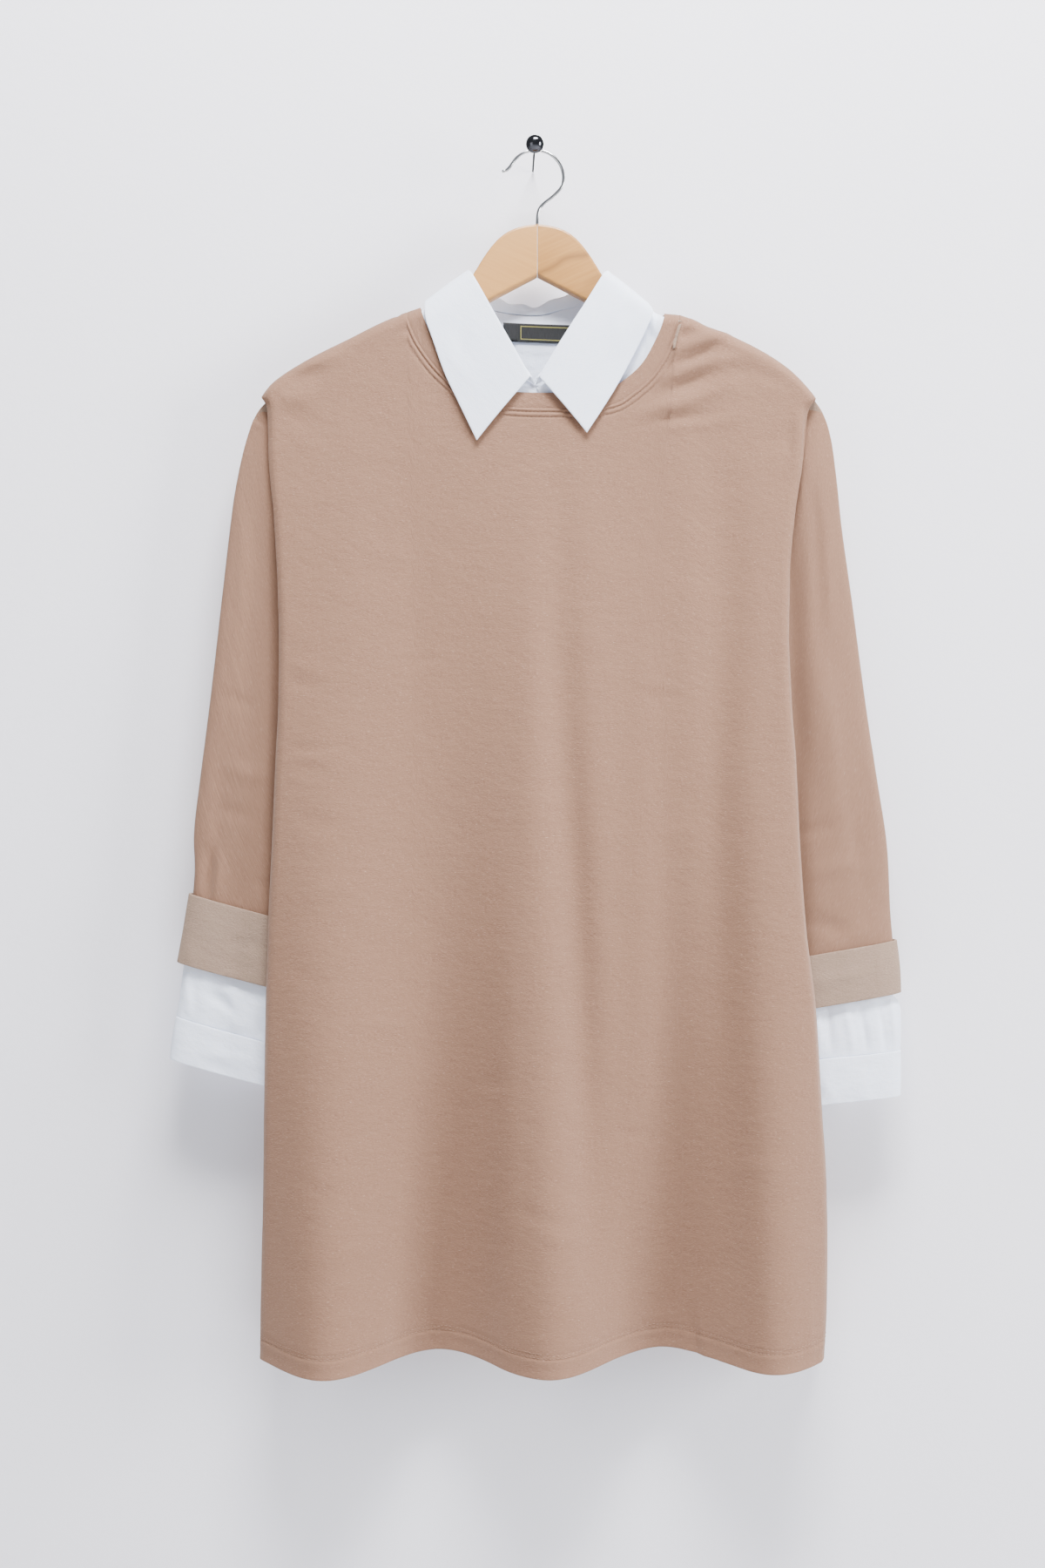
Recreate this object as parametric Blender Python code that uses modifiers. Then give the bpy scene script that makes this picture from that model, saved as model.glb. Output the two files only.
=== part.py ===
"""A tunic-length sweatshirt with a mock shirt collar and shirt cuffs, on a wooden hanger.

The hanger's wire hook hangs on a ball-headed pin in a wall. The wall is the plane y = 0, the viewer
stands at -Y, +Z is up, and the origin is where the pin enters the wall. Left and right are the viewer's.

The body is a front and a back panel that lie on both faces of the hanger. Each panel folds round at
its sides and tucks in towards the side seam, as the sides of a garment do on a hanger that is
narrower than its shoulders, and the sleeves hang in these two side pleats.

Lengths in the tables are millimetres; MM turns them to metres when a mesh is made.
"""

import math
from bisect import bisect_right
from collections import namedtuple

import bpy
from mathutils import Vector

MM = 0.001

# ---- driving dimensions, millimetres -------------------------------------------------------------
SEAM_GAP = 0.3  # between two pieces that are sewn together
KNIT_WALL = 1.8  # sweatshirt fleece
SHIRT_WALL = 1.0  # shirt poplin
COLLAR_WALL = 1.6  # two layers of poplin with an interlining
LABEL_WALL = 0.6

HANG_Y = -33.0  # mid-plane of the hanger, and of the side pleats
HANGER_THICK = 12.0
HANGER_X = 3.5  # the hanger's centre line
WIRE = 2.6  # diameter of the hook's wire
HOOK_RADIUS = 23.0
PIN_SHANK = 2.4
PIN_BALL = 15.0
PIN_TIP = (1.4, -50.0, 6.7)  # centre of the ball

SHOULDER_ROUND = 11.5  # radius of the cloth over the hanger's top edge
SHOULDER_SEAM = 1.1  # half of the groove along the shoulder seam
TIP_REACH = 4.0  # how far the panels run on past their side folds at the shoulders' tips
TIP_EASE = 16.0  # the height over which that dies out
FOLD_ROUND = 4.0  # half width of the fold at the panels' sides
PLEAT_CLEAR = 1.6  # air between a panel's tucked side and the sleeve
BAND_WIDTH = 13.0  # neckband
NECK_SEAM = 0.9  # between it and the panels
WAVE_LENGTH = 182.0  # of the flutes that the panels hang in
HEM_DIP = 5.0  # how much lower the hem hangs where a flute comes forward
FOLD_STEEPNESS = 2.5  # of the walls of the front's inner fold
FOLD_LEAST = 3.2  # from a panel's outer face to its tucked side, where nothing lies between them
SEAM_TURN = 7.0  # the width over which the tucked side turns to the side seam
TIP_X = {-1: -221.5, 1: 230.5}  # where the shoulder line meets the side folds
PROBE = 0.3  # how far to each side the panels' slope is measured

# The line along the top of the shoulders, over the hanger.
Shoulder = namedtuple("Shoulder", "x height")
SHOULDER_LINE = (
    Shoulder(-246, -262),
    Shoulder(-238.5, -222),
    Shoulder(-233.5, -210.5),
    Shoulder(-227, -200),
    Shoulder(-217, -187),
    Shoulder(-192, -170),
    Shoulder(-151, -149),
    Shoulder(-124, -135.6),
    Shoulder(-106, -128.3),
    Shoulder(-90, -122.5),
    Shoulder(-72, -111.5),
    Shoulder(-52, -96),
    Shoulder(-30, -78),
    Shoulder(HANGER_X, -66),
    Shoulder(37, -78),
    Shoulder(60, -96.5),
    Shoulder(80, -114.5),
    Shoulder(92, -122.5),
    Shoulder(104, -127.5),
    Shoulder(109, -129),
    Shoulder(122, -130.3),
    Shoulder(146, -140),
    Shoulder(179.5, -154.5),
    Shoulder(210.5, -173.5),
    Shoulder(230, -193),
    Shoulder(241.5, -210.5),
    Shoulder(247, -225),
    Shoulder(253, -262),
)

# How far the panels stand from the hanger's mid-plane, by the drop below the shoulder line.
Depth = namedtuple("Depth", "drop front back")
DEPTHS = (
    Depth(0, 11.5, 11.5),
    Depth(50, 12.2, 12.7),
    Depth(100, 13.5, 16),
    Depth(170, 15.5, 17.5),
    Depth(250, 19.5, 19),
    Depth(400, 27.5, 22.5),
    Depth(500, 31.5, 25),
    Depth(600, 33, 25),
    Depth(700, 32, 22.5),
    Depth(830, 31, 20),
)

# The flutes' depth, by height: half of the way from trough to ridge.
Flute = namedtuple("Flute", "height front back")
FLUTES = (
    Flute(-1010, 27, 4),
    Flute(-900, 22.5, 3.5),
    Flute(-750, 15, 2),
    Flute(-600, 8.5, 1),
    Flute(-450, 4, 0),
    Flute(-320, 1.2, 0),
    Flute(-240, 0, 0),
)
FRONT_RIDGE_X = 13.0  # a front flute's ridge, next to the middle
BACK_RIDGE_X = 60.0

# How the faceted panels are divided: down from the shoulders, along each shoulder, and along the necklines.
PANEL_ROWS = (0, 0.005, 0.014, 0.035, 0.08, 0.15, 0.24, 0.34, 0.45, 0.56, 0.67, 0.78, 0.89, 1)
SHOULDER_STEPS = 5
NECK_STEPS = {-1: 18, 1: 12}
NECK_FROM = 0.27  # the shares of a panel's top edge where its neckline starts and ends
NECK_TO = 0.75

# One more fold on the front, between two flutes, that starts under the collar and dies out low down.
Crease = namedtuple("Crease", "height x half_width depth")
INNER_FOLD = (
    Crease(-950, 50, 38, 0),
    Crease(-850, 42, 36, 4),
    Crease(-690, 33, 33, 6),
    Crease(-500, 24, 30, 4.5),
    Crease(-330, 21, 26, 2.5),
    Crease(-230, 18, 24, 0),
)

# The body's sides by height: where each panel folds, how far in its side seam lies, and the half depth
# of the room that the sleeve takes in the pleat.
Side = namedtuple("Side", "height fold tuck room")
LEFT_SIDE = (
    Side(-1000, -225, 5, 8),
    Side(-950, -224.2, 9, 10),
    Side(-900, -223, 20, 12),
    Side(-850, -221.5, 33, 15),
    Side(-790, -220.5, 43, 17.5),
    Side(-700, -219, 44, 17.5),
    Side(-620, -216.5, 43, 17),
    Side(-560, -214.3, 40, 13),
    Side(-500, -212, 36, 12),
    Side(-450, -210, 30, 10),
    Side(-400, -210, 21, 7.5),
    Side(-350, -211.5, 14, 6.8),
    Side(-300, -214.5, 9.5, 6),
    Side(-250, -219, 5, 4.8),
    Side(-215, -220, 2.5, 2.4),
    Side(-200, -222, 2, 0.6),
)
RIGHT_SIDE = (
    Side(-1000, 237.5, 2, 8),
    Side(-950, 240.5, 4, 10),
    Side(-900, 241, 14, 12),
    Side(-850, 240, 37, 15),
    Side(-790, 236, 52, 17.5),
    Side(-700, 230.5, 47, 17.5),
    Side(-640, 223.3, 42, 17),
    Side(-580, 219.3, 38, 13),
    Side(-500, 215.6, 34, 12),
    Side(-450, 212, 30, 10),
    Side(-400, 210.5, 21, 7.5),
    Side(-350, 211.5, 14, 6.8),
    Side(-300, 216, 10, 6),
    Side(-250, 223.5, 6, 4.8),
    Side(-215, 227, 2.5, 2.4),
    Side(-200, 232, 2, 0.6),
)
HEM_Z = -995.0
UNDERARM_Z = -400.0
ARMHOLE_TOP_Z = -203.0
ARMHOLE_GAP = 5.0  # half of the width that each armhole is open
BACK_FOLD_IN = 3.0  # the back panel's side folds lie this much inside the front's

# Neckline of the front and the back, as seen from in front.
Point = namedtuple("Point", "x height")
HEM_LINE = (Point(-226, -995), Point(-168, -995.5), Point(10, -995), Point(190, -991), Point(245, -990))
FRONT_NECKLINE = (
    Point(-106, -128.3),
    Point(-102.5, -140),
    Point(-94, -158),
    Point(-76, -181),
    Point(-52, -199.5),
    Point(-27, -208.5),
    Point(18, -210.5),
    Point(62, -208),
    Point(82, -197.5),
    Point(101, -179.5),
    Point(115, -154),
    Point(120.5, -138),
    Point(122, -130.3),
)
BACK_NECKLINE = (
    Point(-106, -128.3),
    Point(-88, -139.5),
    Point(-55, -148),
    Point(8, -152.5),
    Point(70, -149),
    Point(104, -141),
    Point(122, -130.3),
)

# The collar, station by station from the left front end round the back of the neck to the right one.
# Its fold line and the lower edge of its stand are points in space; the leaf's outer edge lies on the
# panels, at this lift, in front of the hanger (face -1), over it (0) or behind it (1).
Station = namedtuple("Station", "fold stand edge_x edge_height lift face")
COLLAR = (
    Station((-2.6, -51.5, -184.6), (1.2, -45.0, -190.5), -46.7, -237.3, 4.2, -1),
    Station((-14.6, -51, -162.6), (-20, -44.2, -176), -61.2, -207, 4.0, -1),
    Station((-26.8, -49.5, -140.8), (-42, -43.2, -160), -73.3, -181.3, 3.8, -1),
    Station((-39.1, -46.5, -118.2), (-57, -43, -138), -82.8, -154.3, 3.6, -1),
    Station((-46.2, -44.5, -105.2), (-62.5, -43, -121), -88.7, -137, 3.6, -1),
    Station((-51.2, -41.6, -96.6), (-65, -41.2, -112.5), -90, -123, 3.6, -1),
    Station((-54.6, -33, -92.4), (-66.5, -33, -107), -89, -118.8, 3.6, 0),
    Station((-52.6, -24.6, -95.2), (-65, -24.8, -111), -88.5, -124, 3.6, 1),
    Station((-46, -20.4, -101.5), (-55, -21, -116.5), -82, -142, 3.6, 1),
    Station((-29.4, -15.8, -112.2), (-30, -19, -124), -50, -158, 3.6, 1),
    Station((0, -14.6, -117.5), (3, -18.2, -127), 4, -163, 3.6, 1),
    Station((22, -15.2, -111), (26, -18.6, -122), 42, -160, 3.6, 1),
    Station((46.5, -20, -101), (60, -21, -115.5), 84, -146, 3.6, 1),
    Station((58, -24.6, -95.7), (71.5, -24.8, -111), 95, -128, 3.6, 1),
    Station((61.8, -33, -92.8), (73.5, -33, -108), 94.5, -120, 3.6, 0),
    Station((58.6, -41.6, -96.8), (72.5, -41.2, -113), 97, -124, 3.6, -1),
    Station((53.6, -44.5, -104.8), (71, -43, -122), 98.8, -131, 3.6, -1),
    Station((45, -46.5, -119), (66, -43, -139), 93.7, -144, 3.6, -1),
    Station((31.2, -49.5, -140.8), (50, -43.2, -160), 84.4, -163, 3.8, -1),
    Station((17.6, -51, -162.6), (27, -44.2, -177), 66, -197, 4.0, -1),
    Station((4.6, -51.5, -184.6), (1.9, -45.0, -190.5), 44.1, -231, 4.2, -1),
)
LEFT_CREST = 6  # the stations where the collar passes over the hanger
RIGHT_CREST = 14
STAND_INSIDE = 2.3  # the stand's outer face behind the leaf's outer face
LEAF_SWELL = 0.8  # how far the leaf bows out between its fold and its edge

# The sleeves, ring by ring from the armhole to the end. Each ring is a flattened loop between its outer
# and its inner point, with a half depth; the first one is the armhole itself.
Ring = namedtuple("Ring", "outer inner half_depth")
LEFT_SLEEVE = (
    Ring((-226.6, -201.8), (-190.3, -399), 2.0),
    Ring((-234.2, -212.4), (-190.8, -402), 4.2),
    Ring((-240.2, -231), (-191.2, -405), 5.2),
    Ring((-246, -262), (-190.5, -413), 5.8),
    Ring((-252, -306), (-189, -424), 6.6),
    Ring((-259.5, -371), (-186, -442), 8.0),
    Ring((-268.2, -447), (-184.4, -478), 9.6),
    Ring((-277, -516), (-184, -530), 10.6),
    Ring((-282, -560), (-183.5, -574), 11.4),
    Ring((-281.5, -598), (-183, -622), 12.2),
    Ring((-287.5, -645), (-182.4, -672), 13.6),
    Ring((-293.9, -667.1), (-181.9, -697.1), 14.2),
)
RIGHT_SLEEVE = (
    Ring((235.2, -199.6), (190.3, -399), 2.0),
    Ring((243, -212.4), (190.8, -402), 4.2),
    Ring((248.6, -232), (191.2, -405), 5.2),
    Ring((252.3, -263), (190.5, -413), 5.8),
    Ring((256.5, -306), (189, -424), 6.6),
    Ring((265.5, -371), (187.2, -442), 8.0),
    Ring((275.5, -447), (187.6, -478), 9.6),
    Ring((285.5, -516), (189, -530), 10.6),
    Ring((294, -571), (190, -584), 11.4),
    Ring((297, -628), (190.6, -648), 12.2),
    Ring((301.2, -672), (191, -690), 13.6),
    Ring((303.3, -692.2), (191.3, -711.7), 14.2),
)
LEFT_TURNUP = (
    Ring((-286.2, -610.5), (-179.8, -639), 15.4),
    Ring((-291, -640), (-179.6, -669), 16.5),
    Ring((-296, -667.5), (-179.8, -697.5), 16.9),
)
RIGHT_TURNUP = (
    Ring((302.2, -649), (188.8, -668.5), 15.4),
    Ring((304.8, -671), (188.8, -691), 16.6),
    Ring((305.8, -692.5), (189, -712), 17.0),
)
LEFT_STUB = (
    Ring((-284.5, -650), (-187.5, -680), 9.6),
    Ring((-289.4, -665), (-186, -694), 11.2),
    Ring((-291.4, -677), (-184.8, -707), 13.0),
    Ring((-293.9, -697), (-184.2, -728), 13.2),
    Ring((-296.6, -712.4), (-184, -743.1), 12.4),
)
RIGHT_STUB = (
    Ring((296, -676), (197, -695), 9.6),
    Ring((297, -691), (195.8, -709), 10.4),
    Ring((304.6, -703), (192.8, -720), 12.6),
    Ring((306, -720), (191.6, -735), 13.2),
    Ring((305.6, -740.4), (191.4, -751.1), 12.4),
)
LEFT_CUFF = (
    Ring((-296.8, -712.9), (-184, -743.6), 13.4),
    Ring((-300, -730), (-183.6, -761.5), 13.8),
    Ring((-302, -748), (-183.4, -779.5), 13.4),
)
RIGHT_CUFF = (
    Ring((305.6, -740.9), (191.6, -751.6), 13.4),
    Ring((306, -759), (191.8, -771), 13.8),
    Ring((305.6, -778.5), (192.2, -789.5), 13.4),
)
PLEATS = 13  # round each pleated sleeve end
PLEAT_DEPTH = 0.9
FLAT_SHARE = 0.62  # how square the sleeves' flattened loops are: 1 would be an ellipse
END_SHARE = 0.85  # the same for their ends
HEAD_SHARE = 0.16  # the share of a sleeve that eases from the armhole's line to its own

# The wooden hanger's top edge, by the reach from its middle, and its underside.
Edge = namedtuple("Edge", "reach height")
HANGER_TOP = (
    Edge(0, -55.5),
    Edge(12, -57.2),
    Edge(23, -61),
    Edge(33, -68.2),
    Edge(43, -80.5),
    Edge(52.8, -96.2),
    Edge(60.5, -107.5),
    Edge(75, -121.5),
    Edge(92, -134),
    Edge(110, -142.5),
    Edge(128, -149),
    Edge(155, -157),
    Edge(195, -177),
    Edge(209, -185.5),
    Edge(216, -193.5),
    Edge(217.5, -200),
)
HANGER_UNDER = -98.0  # its apex
HANGER_SLOPE = 27.6  # degrees

HANGER_EDGE = 2.5  # its rounded edges
HOOK_X = 2.2  # centre of the hook's round

LABEL_X = (-25.0, 32.0)
LABEL_TOP = -134.0
LABEL_TALL = 15.5
LABEL_SLOPE = -0.04
TAB_X = (-24.0, -13.0)
INSET_LIFT = -(KNIT_WALL + 3 * SEAM_GAP)  # the shirt part lies inside the knit
LAP_EDGE = 0.485  # shares of the neckline where the shirt's right front ends, on top
LAP_UNDER = 0.53  # and where its left front ends, below
INSET_BELOW = 2.2  # the shirt part starts this far below the stand
INSET_SAG = 1.8
INSET_SAG_FROM = 30.0  # it sags this much where it is at least so wide
INSET_BACK_DEEP = 34.0  # how far the shirt's back reaches below the neckline, inside


# ---- reading the tables --------------------------------------------------------------------------
PREPARED = {}


def smooth(table, key, value, at):
    """One column of a table read along another by a curve that never overshoots its rows."""
    name = (id(table), value)
    if name not in PREPARED:
        keys = [getattr(row, key) for row in table]
        values = [getattr(row, value) for row in table]
        steps = [(values[j + 1] - values[j]) / (keys[j + 1] - keys[j]) for j in range(len(keys) - 1)]
        slopes = [steps[0]]
        for before, after in zip(steps, steps[1:]):
            slopes.append(0.0 if before * after <= 0 else 2 * before * after / (before + after))
        PREPARED[name] = (keys, values, slopes + [steps[-1]])
    keys, values, slopes = PREPARED[name]
    if at <= keys[0]:
        return values[0]
    if at >= keys[-1]:
        return values[-1]
    i = bisect_right(keys, at) - 1
    width = keys[i + 1] - keys[i]
    t = (at - keys[i]) / width
    return (
        values[i] * (1 + 2 * t) * (1 - t) ** 2
        + values[i + 1] * t * t * (3 - 2 * t)
        + width * slopes[i] * t * (1 - t) ** 2
        - width * slopes[i + 1] * t * t * (1 - t)
    )


def lerp(a, b, share):
    return a + (b - a) * share


def mix(a, b, share):
    return tuple(lerp(p, q, share) for p, q in zip(a, b))


def along(points, share):
    """A point at this share of a smooth curve through points, which are tuples of any length."""
    reach = [0.0]
    for a, b in zip(points, points[1:]):
        reach.append(reach[-1] + max(math.dist(a, b), 1e-6))
    at = min(max(share, 0.0), 1.0) * reach[-1]
    i = min(bisect_right(reach, at) - 1, len(points) - 2)
    t = (at - reach[i]) / (reach[i + 1] - reach[i])
    before = points[max(i - 1, 0)]
    after = points[min(i + 2, len(points) - 1)]
    out = []
    for p0, p1, p2, p3 in zip(before, points[i], points[i + 1], after):
        near = (p2 - p0) / 2
        far = (p3 - p1) / 2
        out.append(
            p1 * (1 + 2 * t) * (1 - t) ** 2
            + p2 * t * t * (3 - 2 * t)
            + near * t * (1 - t) ** 2
            - far * t * t * (1 - t)
        )
    return tuple(out)


def ease(share):
    share = min(max(share, 0.0), 1.0)
    return share * share * (3 - 2 * share)


# ---- the cloth's form ----------------------------------------------------------------------------
def shoulder_height(x):
    return smooth(SHOULDER_LINE, "x", "height", x)


def flute(x, ridge_x):
    """1 on a flute's ridge, -1 in its trough."""
    return math.cos(2 * math.pi * (x - ridge_x) / WAVE_LENGTH)


def fold_depth(face, x, height):
    """How far the flutes and the inner fold carry a panel away from its mean depth."""
    if face > 0:
        return smooth(FLUTES, "height", "back", height) * flute(x, BACK_RIDGE_X)
    out = smooth(FLUTES, "height", "front", height) * flute(x, FRONT_RIDGE_X)
    middle = smooth(INNER_FOLD, "height", "x", height)
    width = smooth(INNER_FOLD, "height", "half_width", height)
    deep = smooth(INNER_FOLD, "height", "depth", height)
    return out - deep * math.exp(-(((x - middle) / width) ** 2) * FOLD_STEEPNESS)


def panel_y(face, x, height, lift=0.0):
    """Depth of the front (face -1) or back (face 1) at a place seen from in front, lifted off it by lift."""
    drop = shoulder_height(x) + lift - height
    if drop <= 0:
        return HANG_Y + face * SHOULDER_SEAM
    deep = smooth(DEPTHS, "drop", "front" if face < 0 else "back", drop - lift)
    deep += fold_depth(face, x, height) + lift
    turn = min(deep, SHOULDER_ROUND + lift)
    if drop < turn:
        deep *= math.sqrt(1 - (1 - drop / turn) ** 2)
    return HANG_Y + face * max(deep, SHOULDER_SEAM)


def on_panel(face, x, height, lift=0.0):
    return (x, panel_y(face, x, height, lift), height)


def off_panel(face, x, height, lift):
    """The same, but lifted square to the cloth, which keeps the order of points over the shoulder."""
    drop = shoulder_height(x) - height
    if drop < 0.02:
        return (x, HANG_Y + face * SHOULDER_SEAM, shoulder_height(x) + lift)
    step = min(PROBE, drop / 2)
    y = panel_y(face, x, height)
    rise = (panel_y(face, x, height + step) - panel_y(face, x, height - step)) / (2 * step)
    run = (panel_y(face, x + PROBE, height) - panel_y(face, x - PROBE, height)) / (2 * PROBE)
    outward = Vector((-run, 1, -rise)).normalized() * face
    return tuple(Vector((x, y, height)) + outward * lift)


def side_rows(sign):
    return LEFT_SIDE if sign < 0 else RIGHT_SIDE


def fold_x(sign, height, face=-1):
    x = smooth(side_rows(sign), "height", "fold", height)
    if face < 0:
        return x
    # At the right of the hem the back panel shows past the side seam.
    past = 9.0 * ease((-900 - height) / 90) if sign > 0 else 0.0
    return x + sign * (past - BACK_FOLD_IN * ease((-215 - height) / 60))


def seam_x(sign, height):
    rows = side_rows(sign)
    return smooth(rows, "height", "fold", height) - sign * smooth(rows, "height", "tuck", height)


def armhole_gap(height):
    """Half of the armhole's opening: nothing at the shoulder, nor from the underarm down."""
    share = (height - UNDERARM_Z) / (ARMHOLE_TOP_Z - UNDERARM_Z)
    if share <= 0 or share >= 1:
        return 0.0
    return ARMHOLE_GAP * math.sin(math.pi * share) ** 0.5


def side_column(face, sign, height, share):
    """A point of a panel's side, from its flat part (0) round the fold and in to the side seam (1)."""
    fold = fold_x(sign, height, face)
    room = smooth(side_rows(sign), "height", "room", height)
    tuck = smooth(side_rows(sign), "height", "tuck", height)
    tuck_here = max(abs(fold - seam_x(sign, height)), 0.5)
    flat = min(FOLD_ROUND, tuck_here)
    outer = panel_y(face, fold - sign * FOLD_ROUND, height)
    inner = HANG_Y + face * (room + PLEAT_CLEAR)
    inner = outer - face * max(face * (outer - inner), FOLD_LEAST)
    end = HANG_Y + face * (armhole_gap(height) + SEAM_GAP)
    run_in = min(SEAM_TURN, 0.5 * tuck)
    points = (
        (fold - sign * FOLD_ROUND, outer),
        (fold, (outer + inner) / 2),
        (fold - sign * flat * 0.8, inner),
        (seam_x(sign, height) + sign * run_in, lerp(inner, end, 0.25)),
        (seam_x(sign, height), end),
    )
    x, y = along(points, share)
    # At the shoulder's tip the side runs straight on, down the end of the shoulder line.
    spread = 1 - ease((tip(sign)[1] - height) / TIP_EASE)
    out_x = tip(sign)[0] + sign * TIP_REACH * share
    drop_z = lerp(height, shoulder_height(out_x) - (tip(sign)[1] - height), spread)
    straight_y = panel_y(face, out_x, drop_z)
    return (lerp(x, out_x, spread), lerp(y, straight_y, spread), drop_z)


def tip(sign):
    """Where the shoulder line meets the side fold."""
    return (TIP_X[sign], shoulder_height(TIP_X[sign]))


def hem_height(x):
    return smooth(HEM_LINE, "x", "height", x) - HEM_DIP * (flute(x, FRONT_RIDGE_X) - 0.2)


def top_edge(face, share):
    """The upper edge of a panel: shoulder line, neckline, shoulder line."""
    neckline = FRONT_NECKLINE if face < 0 else BACK_NECKLINE
    if share < NECK_FROM:
        x = lerp(tip(-1)[0], neckline[0].x, share / NECK_FROM)
        return (x, shoulder_height(x))
    if share > NECK_TO:
        x = lerp(neckline[-1].x, tip(1)[0], (share - NECK_TO) / (1 - NECK_TO))
        return (x, shoulder_height(x))
    return along(neckline, (share - NECK_FROM) / (NECK_TO - NECK_FROM))


def side_height(sign, down):
    return lerp(tip(sign)[1], hem_height(fold_x(sign, HEM_Z)), down)


def flat_side(face, sign, height):
    """Where a panel's flat part ends at its side."""
    spread = 1 - ease((tip(sign)[1] - height) / TIP_EASE)
    return (lerp(fold_x(sign, height, face) - sign * FOLD_ROUND, tip(sign)[0], spread), height)


def flat_row(face, shares, down):
    """A line across a panel between its side folds, blended from its four edges."""
    left, right = (flat_side(face, sign, side_height(sign, down)) for sign in (-1, 1))
    hem_ends = [flat_side(face, sign, HEM_Z)[0] for sign in (-1, 1)]
    hem_ends = [(x, hem_height(x)) for x in hem_ends]
    row = []
    for share in shares:
        hem_x = lerp(hem_ends[0][0], hem_ends[1][0], share)
        edge = mix(top_edge(face, share), (hem_x, hem_height(hem_x)), down)
        across = mix(left, right, share)
        corners = mix(mix(tip(-1), tip(1), share), mix(*hem_ends, share), down)
        x, z = (e + a - c for e, a, c in zip(edge, across, corners))
        row.append(on_panel(face, x, z))
    return row


def panel_shares(shoulder_steps, neck_shares):
    """Shares across a panel: evenly along the shoulders, and as given along the neckline."""
    shoulder = [i / shoulder_steps for i in range(shoulder_steps + 1)]
    shares = [NECK_FROM * share for share in shoulder]
    shares += [lerp(NECK_FROM, NECK_TO, share) for share in neck_shares[1:-1]]
    return shares + [lerp(NECK_TO, 1, share) for share in shoulder]


def panel_grid(face, downs, shares, side_steps):
    """A panel's points, row by row from the top: left side, flat part, right side."""
    in_shares = [i / side_steps for i in range(1, side_steps + 1)]
    grid = []
    for down in downs:
        line = [side_column(face, -1, side_height(-1, down), share) for share in reversed(in_shares)]
        line += flat_row(face, shares, down)
        line += [side_column(face, 1, side_height(1, down), share) for share in in_shares]
        grid.append(line)
    return grid


def rings_at(rings, share):
    """The outer and inner points and the half depth at this share of the way down a sleeve."""
    rows = [ring.outer + ring.inner + (ring.half_depth,) for ring in rings]
    x0, z0, x1, z1, deep = along(rows, share)
    return (x0, z0), (x1, z1), deep


def loop_point(rings, share, turn, pleats=0.0):
    """A point round a flattened loop: turn 0 at its outer end, 0.25 in front, 0.5 at its inner end."""
    outer, inner, deep = rings_at(rings, share)
    angle = 2 * math.pi * turn
    width = math.dist(outer, inner) / 2
    cos, sin = math.cos(angle), math.sin(angle)
    out = math.copysign(abs(cos) ** END_SHARE, cos)
    front = math.copysign(abs(sin) ** FLAT_SHARE, sin)
    shrink = pleats * (0.5 - 0.5 * math.cos(angle * PLEATS))
    middle = mix(outer, inner, 0.5)
    reach = out * (1 - shrink / width)
    return (
        lerp(middle[0], outer[0], reach),
        HANG_Y - front * (deep - shrink),
        lerp(middle[1], outer[1], reach),
    )


def armhole_point(sign, turn):
    """A point round the armhole, level with the first ring of the sleeve that is set in there."""
    rings = LEFT_SLEEVE if sign < 0 else RIGHT_SLEEVE
    straight = loop_point(rings, 0, turn)
    height = straight[2]
    side = [side_column(-1, sign, height, 1.0), side_column(1, sign, height, 1.0)]
    front = math.copysign(1, math.sin(2 * math.pi * turn))
    y = HANG_Y - front * max(armhole_gap(height) - SEAM_GAP, 0.2) * abs(math.sin(2 * math.pi * turn)) ** 0.4
    return (side[0][0], y, height)


def sleeve_grid(sign, down_steps, around):
    """A sleeve's points, ring by ring; the first rings ease from the armhole's own line to the table's."""
    rings = LEFT_SLEEVE if sign < 0 else RIGHT_SLEEVE
    grid = []
    for i in range(down_steps + 1):
        share = (i / down_steps) ** 1.25
        keep = max(0.0, 1 - share / HEAD_SHARE) ** 1.5
        line = []
        for j in range(around):
            turn = j / around
            x, y, z = loop_point(rings, share, turn)
            if keep:
                hole = armhole_point(sign, turn)
                first = loop_point(rings, 0, turn)
                x += keep * (hole[0] - first[0])
                y += keep * (hole[1] - first[1])
            line.append((x, y, z))
        grid.append(line)
    return grid


def loop_grid(rings, down_steps, around, pleats=0.0):
    return [
        [loop_point(rings, i / down_steps, j / around, pleats) for j in range(around)]
        for i in range(down_steps + 1)
    ]


def neckline_side(face, share):
    """A point of the neckline and the direction from it into the neck opening, as seen from in front."""
    line = FRONT_NECKLINE if face < 0 else BACK_NECKLINE
    x, z = along(line, share)
    ahead, behind = along(line, min(share + 0.01, 1)), along(line, max(share - 0.01, 0))
    run_x, run_z = ahead[0] - behind[0], ahead[1] - behind[1]
    length = math.hypot(run_x, run_z)
    into = (-run_z / length, run_x / length)
    # At the shoulders it turns to run along the shoulder line.
    left, right = share < 0.5, share >= 0.5
    inner = x + 10 * (left - right)
    slope = (inner - x, shoulder_height(inner) - shoulder_height(x))
    size = math.hypot(*slope)
    keep = ease(min(share, 1 - share) / 0.1)
    into = (lerp(slope[0] / size, into[0], keep), lerp(slope[1] / size, into[1], keep))
    size = math.hypot(*into)
    return (x, z), (into[0] / size, into[1] / size)


def near_neckline(face, share, into_neck, lift):
    """A point of the cloth this far inside the neckline, or below it where into_neck is negative."""
    (x, z), into = neckline_side(face, share)
    x += into[0] * into_neck
    z += into[1] * into_neck
    if share in (0.0, 1.0):
        return (x, HANG_Y, shoulder_height(x) + lift)
    return off_panel(face, x, z, lift)


def close_to_ends(count):
    """Shares from 0 to 1 that lie closer together at both ends, where the cloth turns over the hanger."""
    return [0.5 - 0.5 * math.cos(math.pi * i / count) for i in range(count + 1)]


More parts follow.
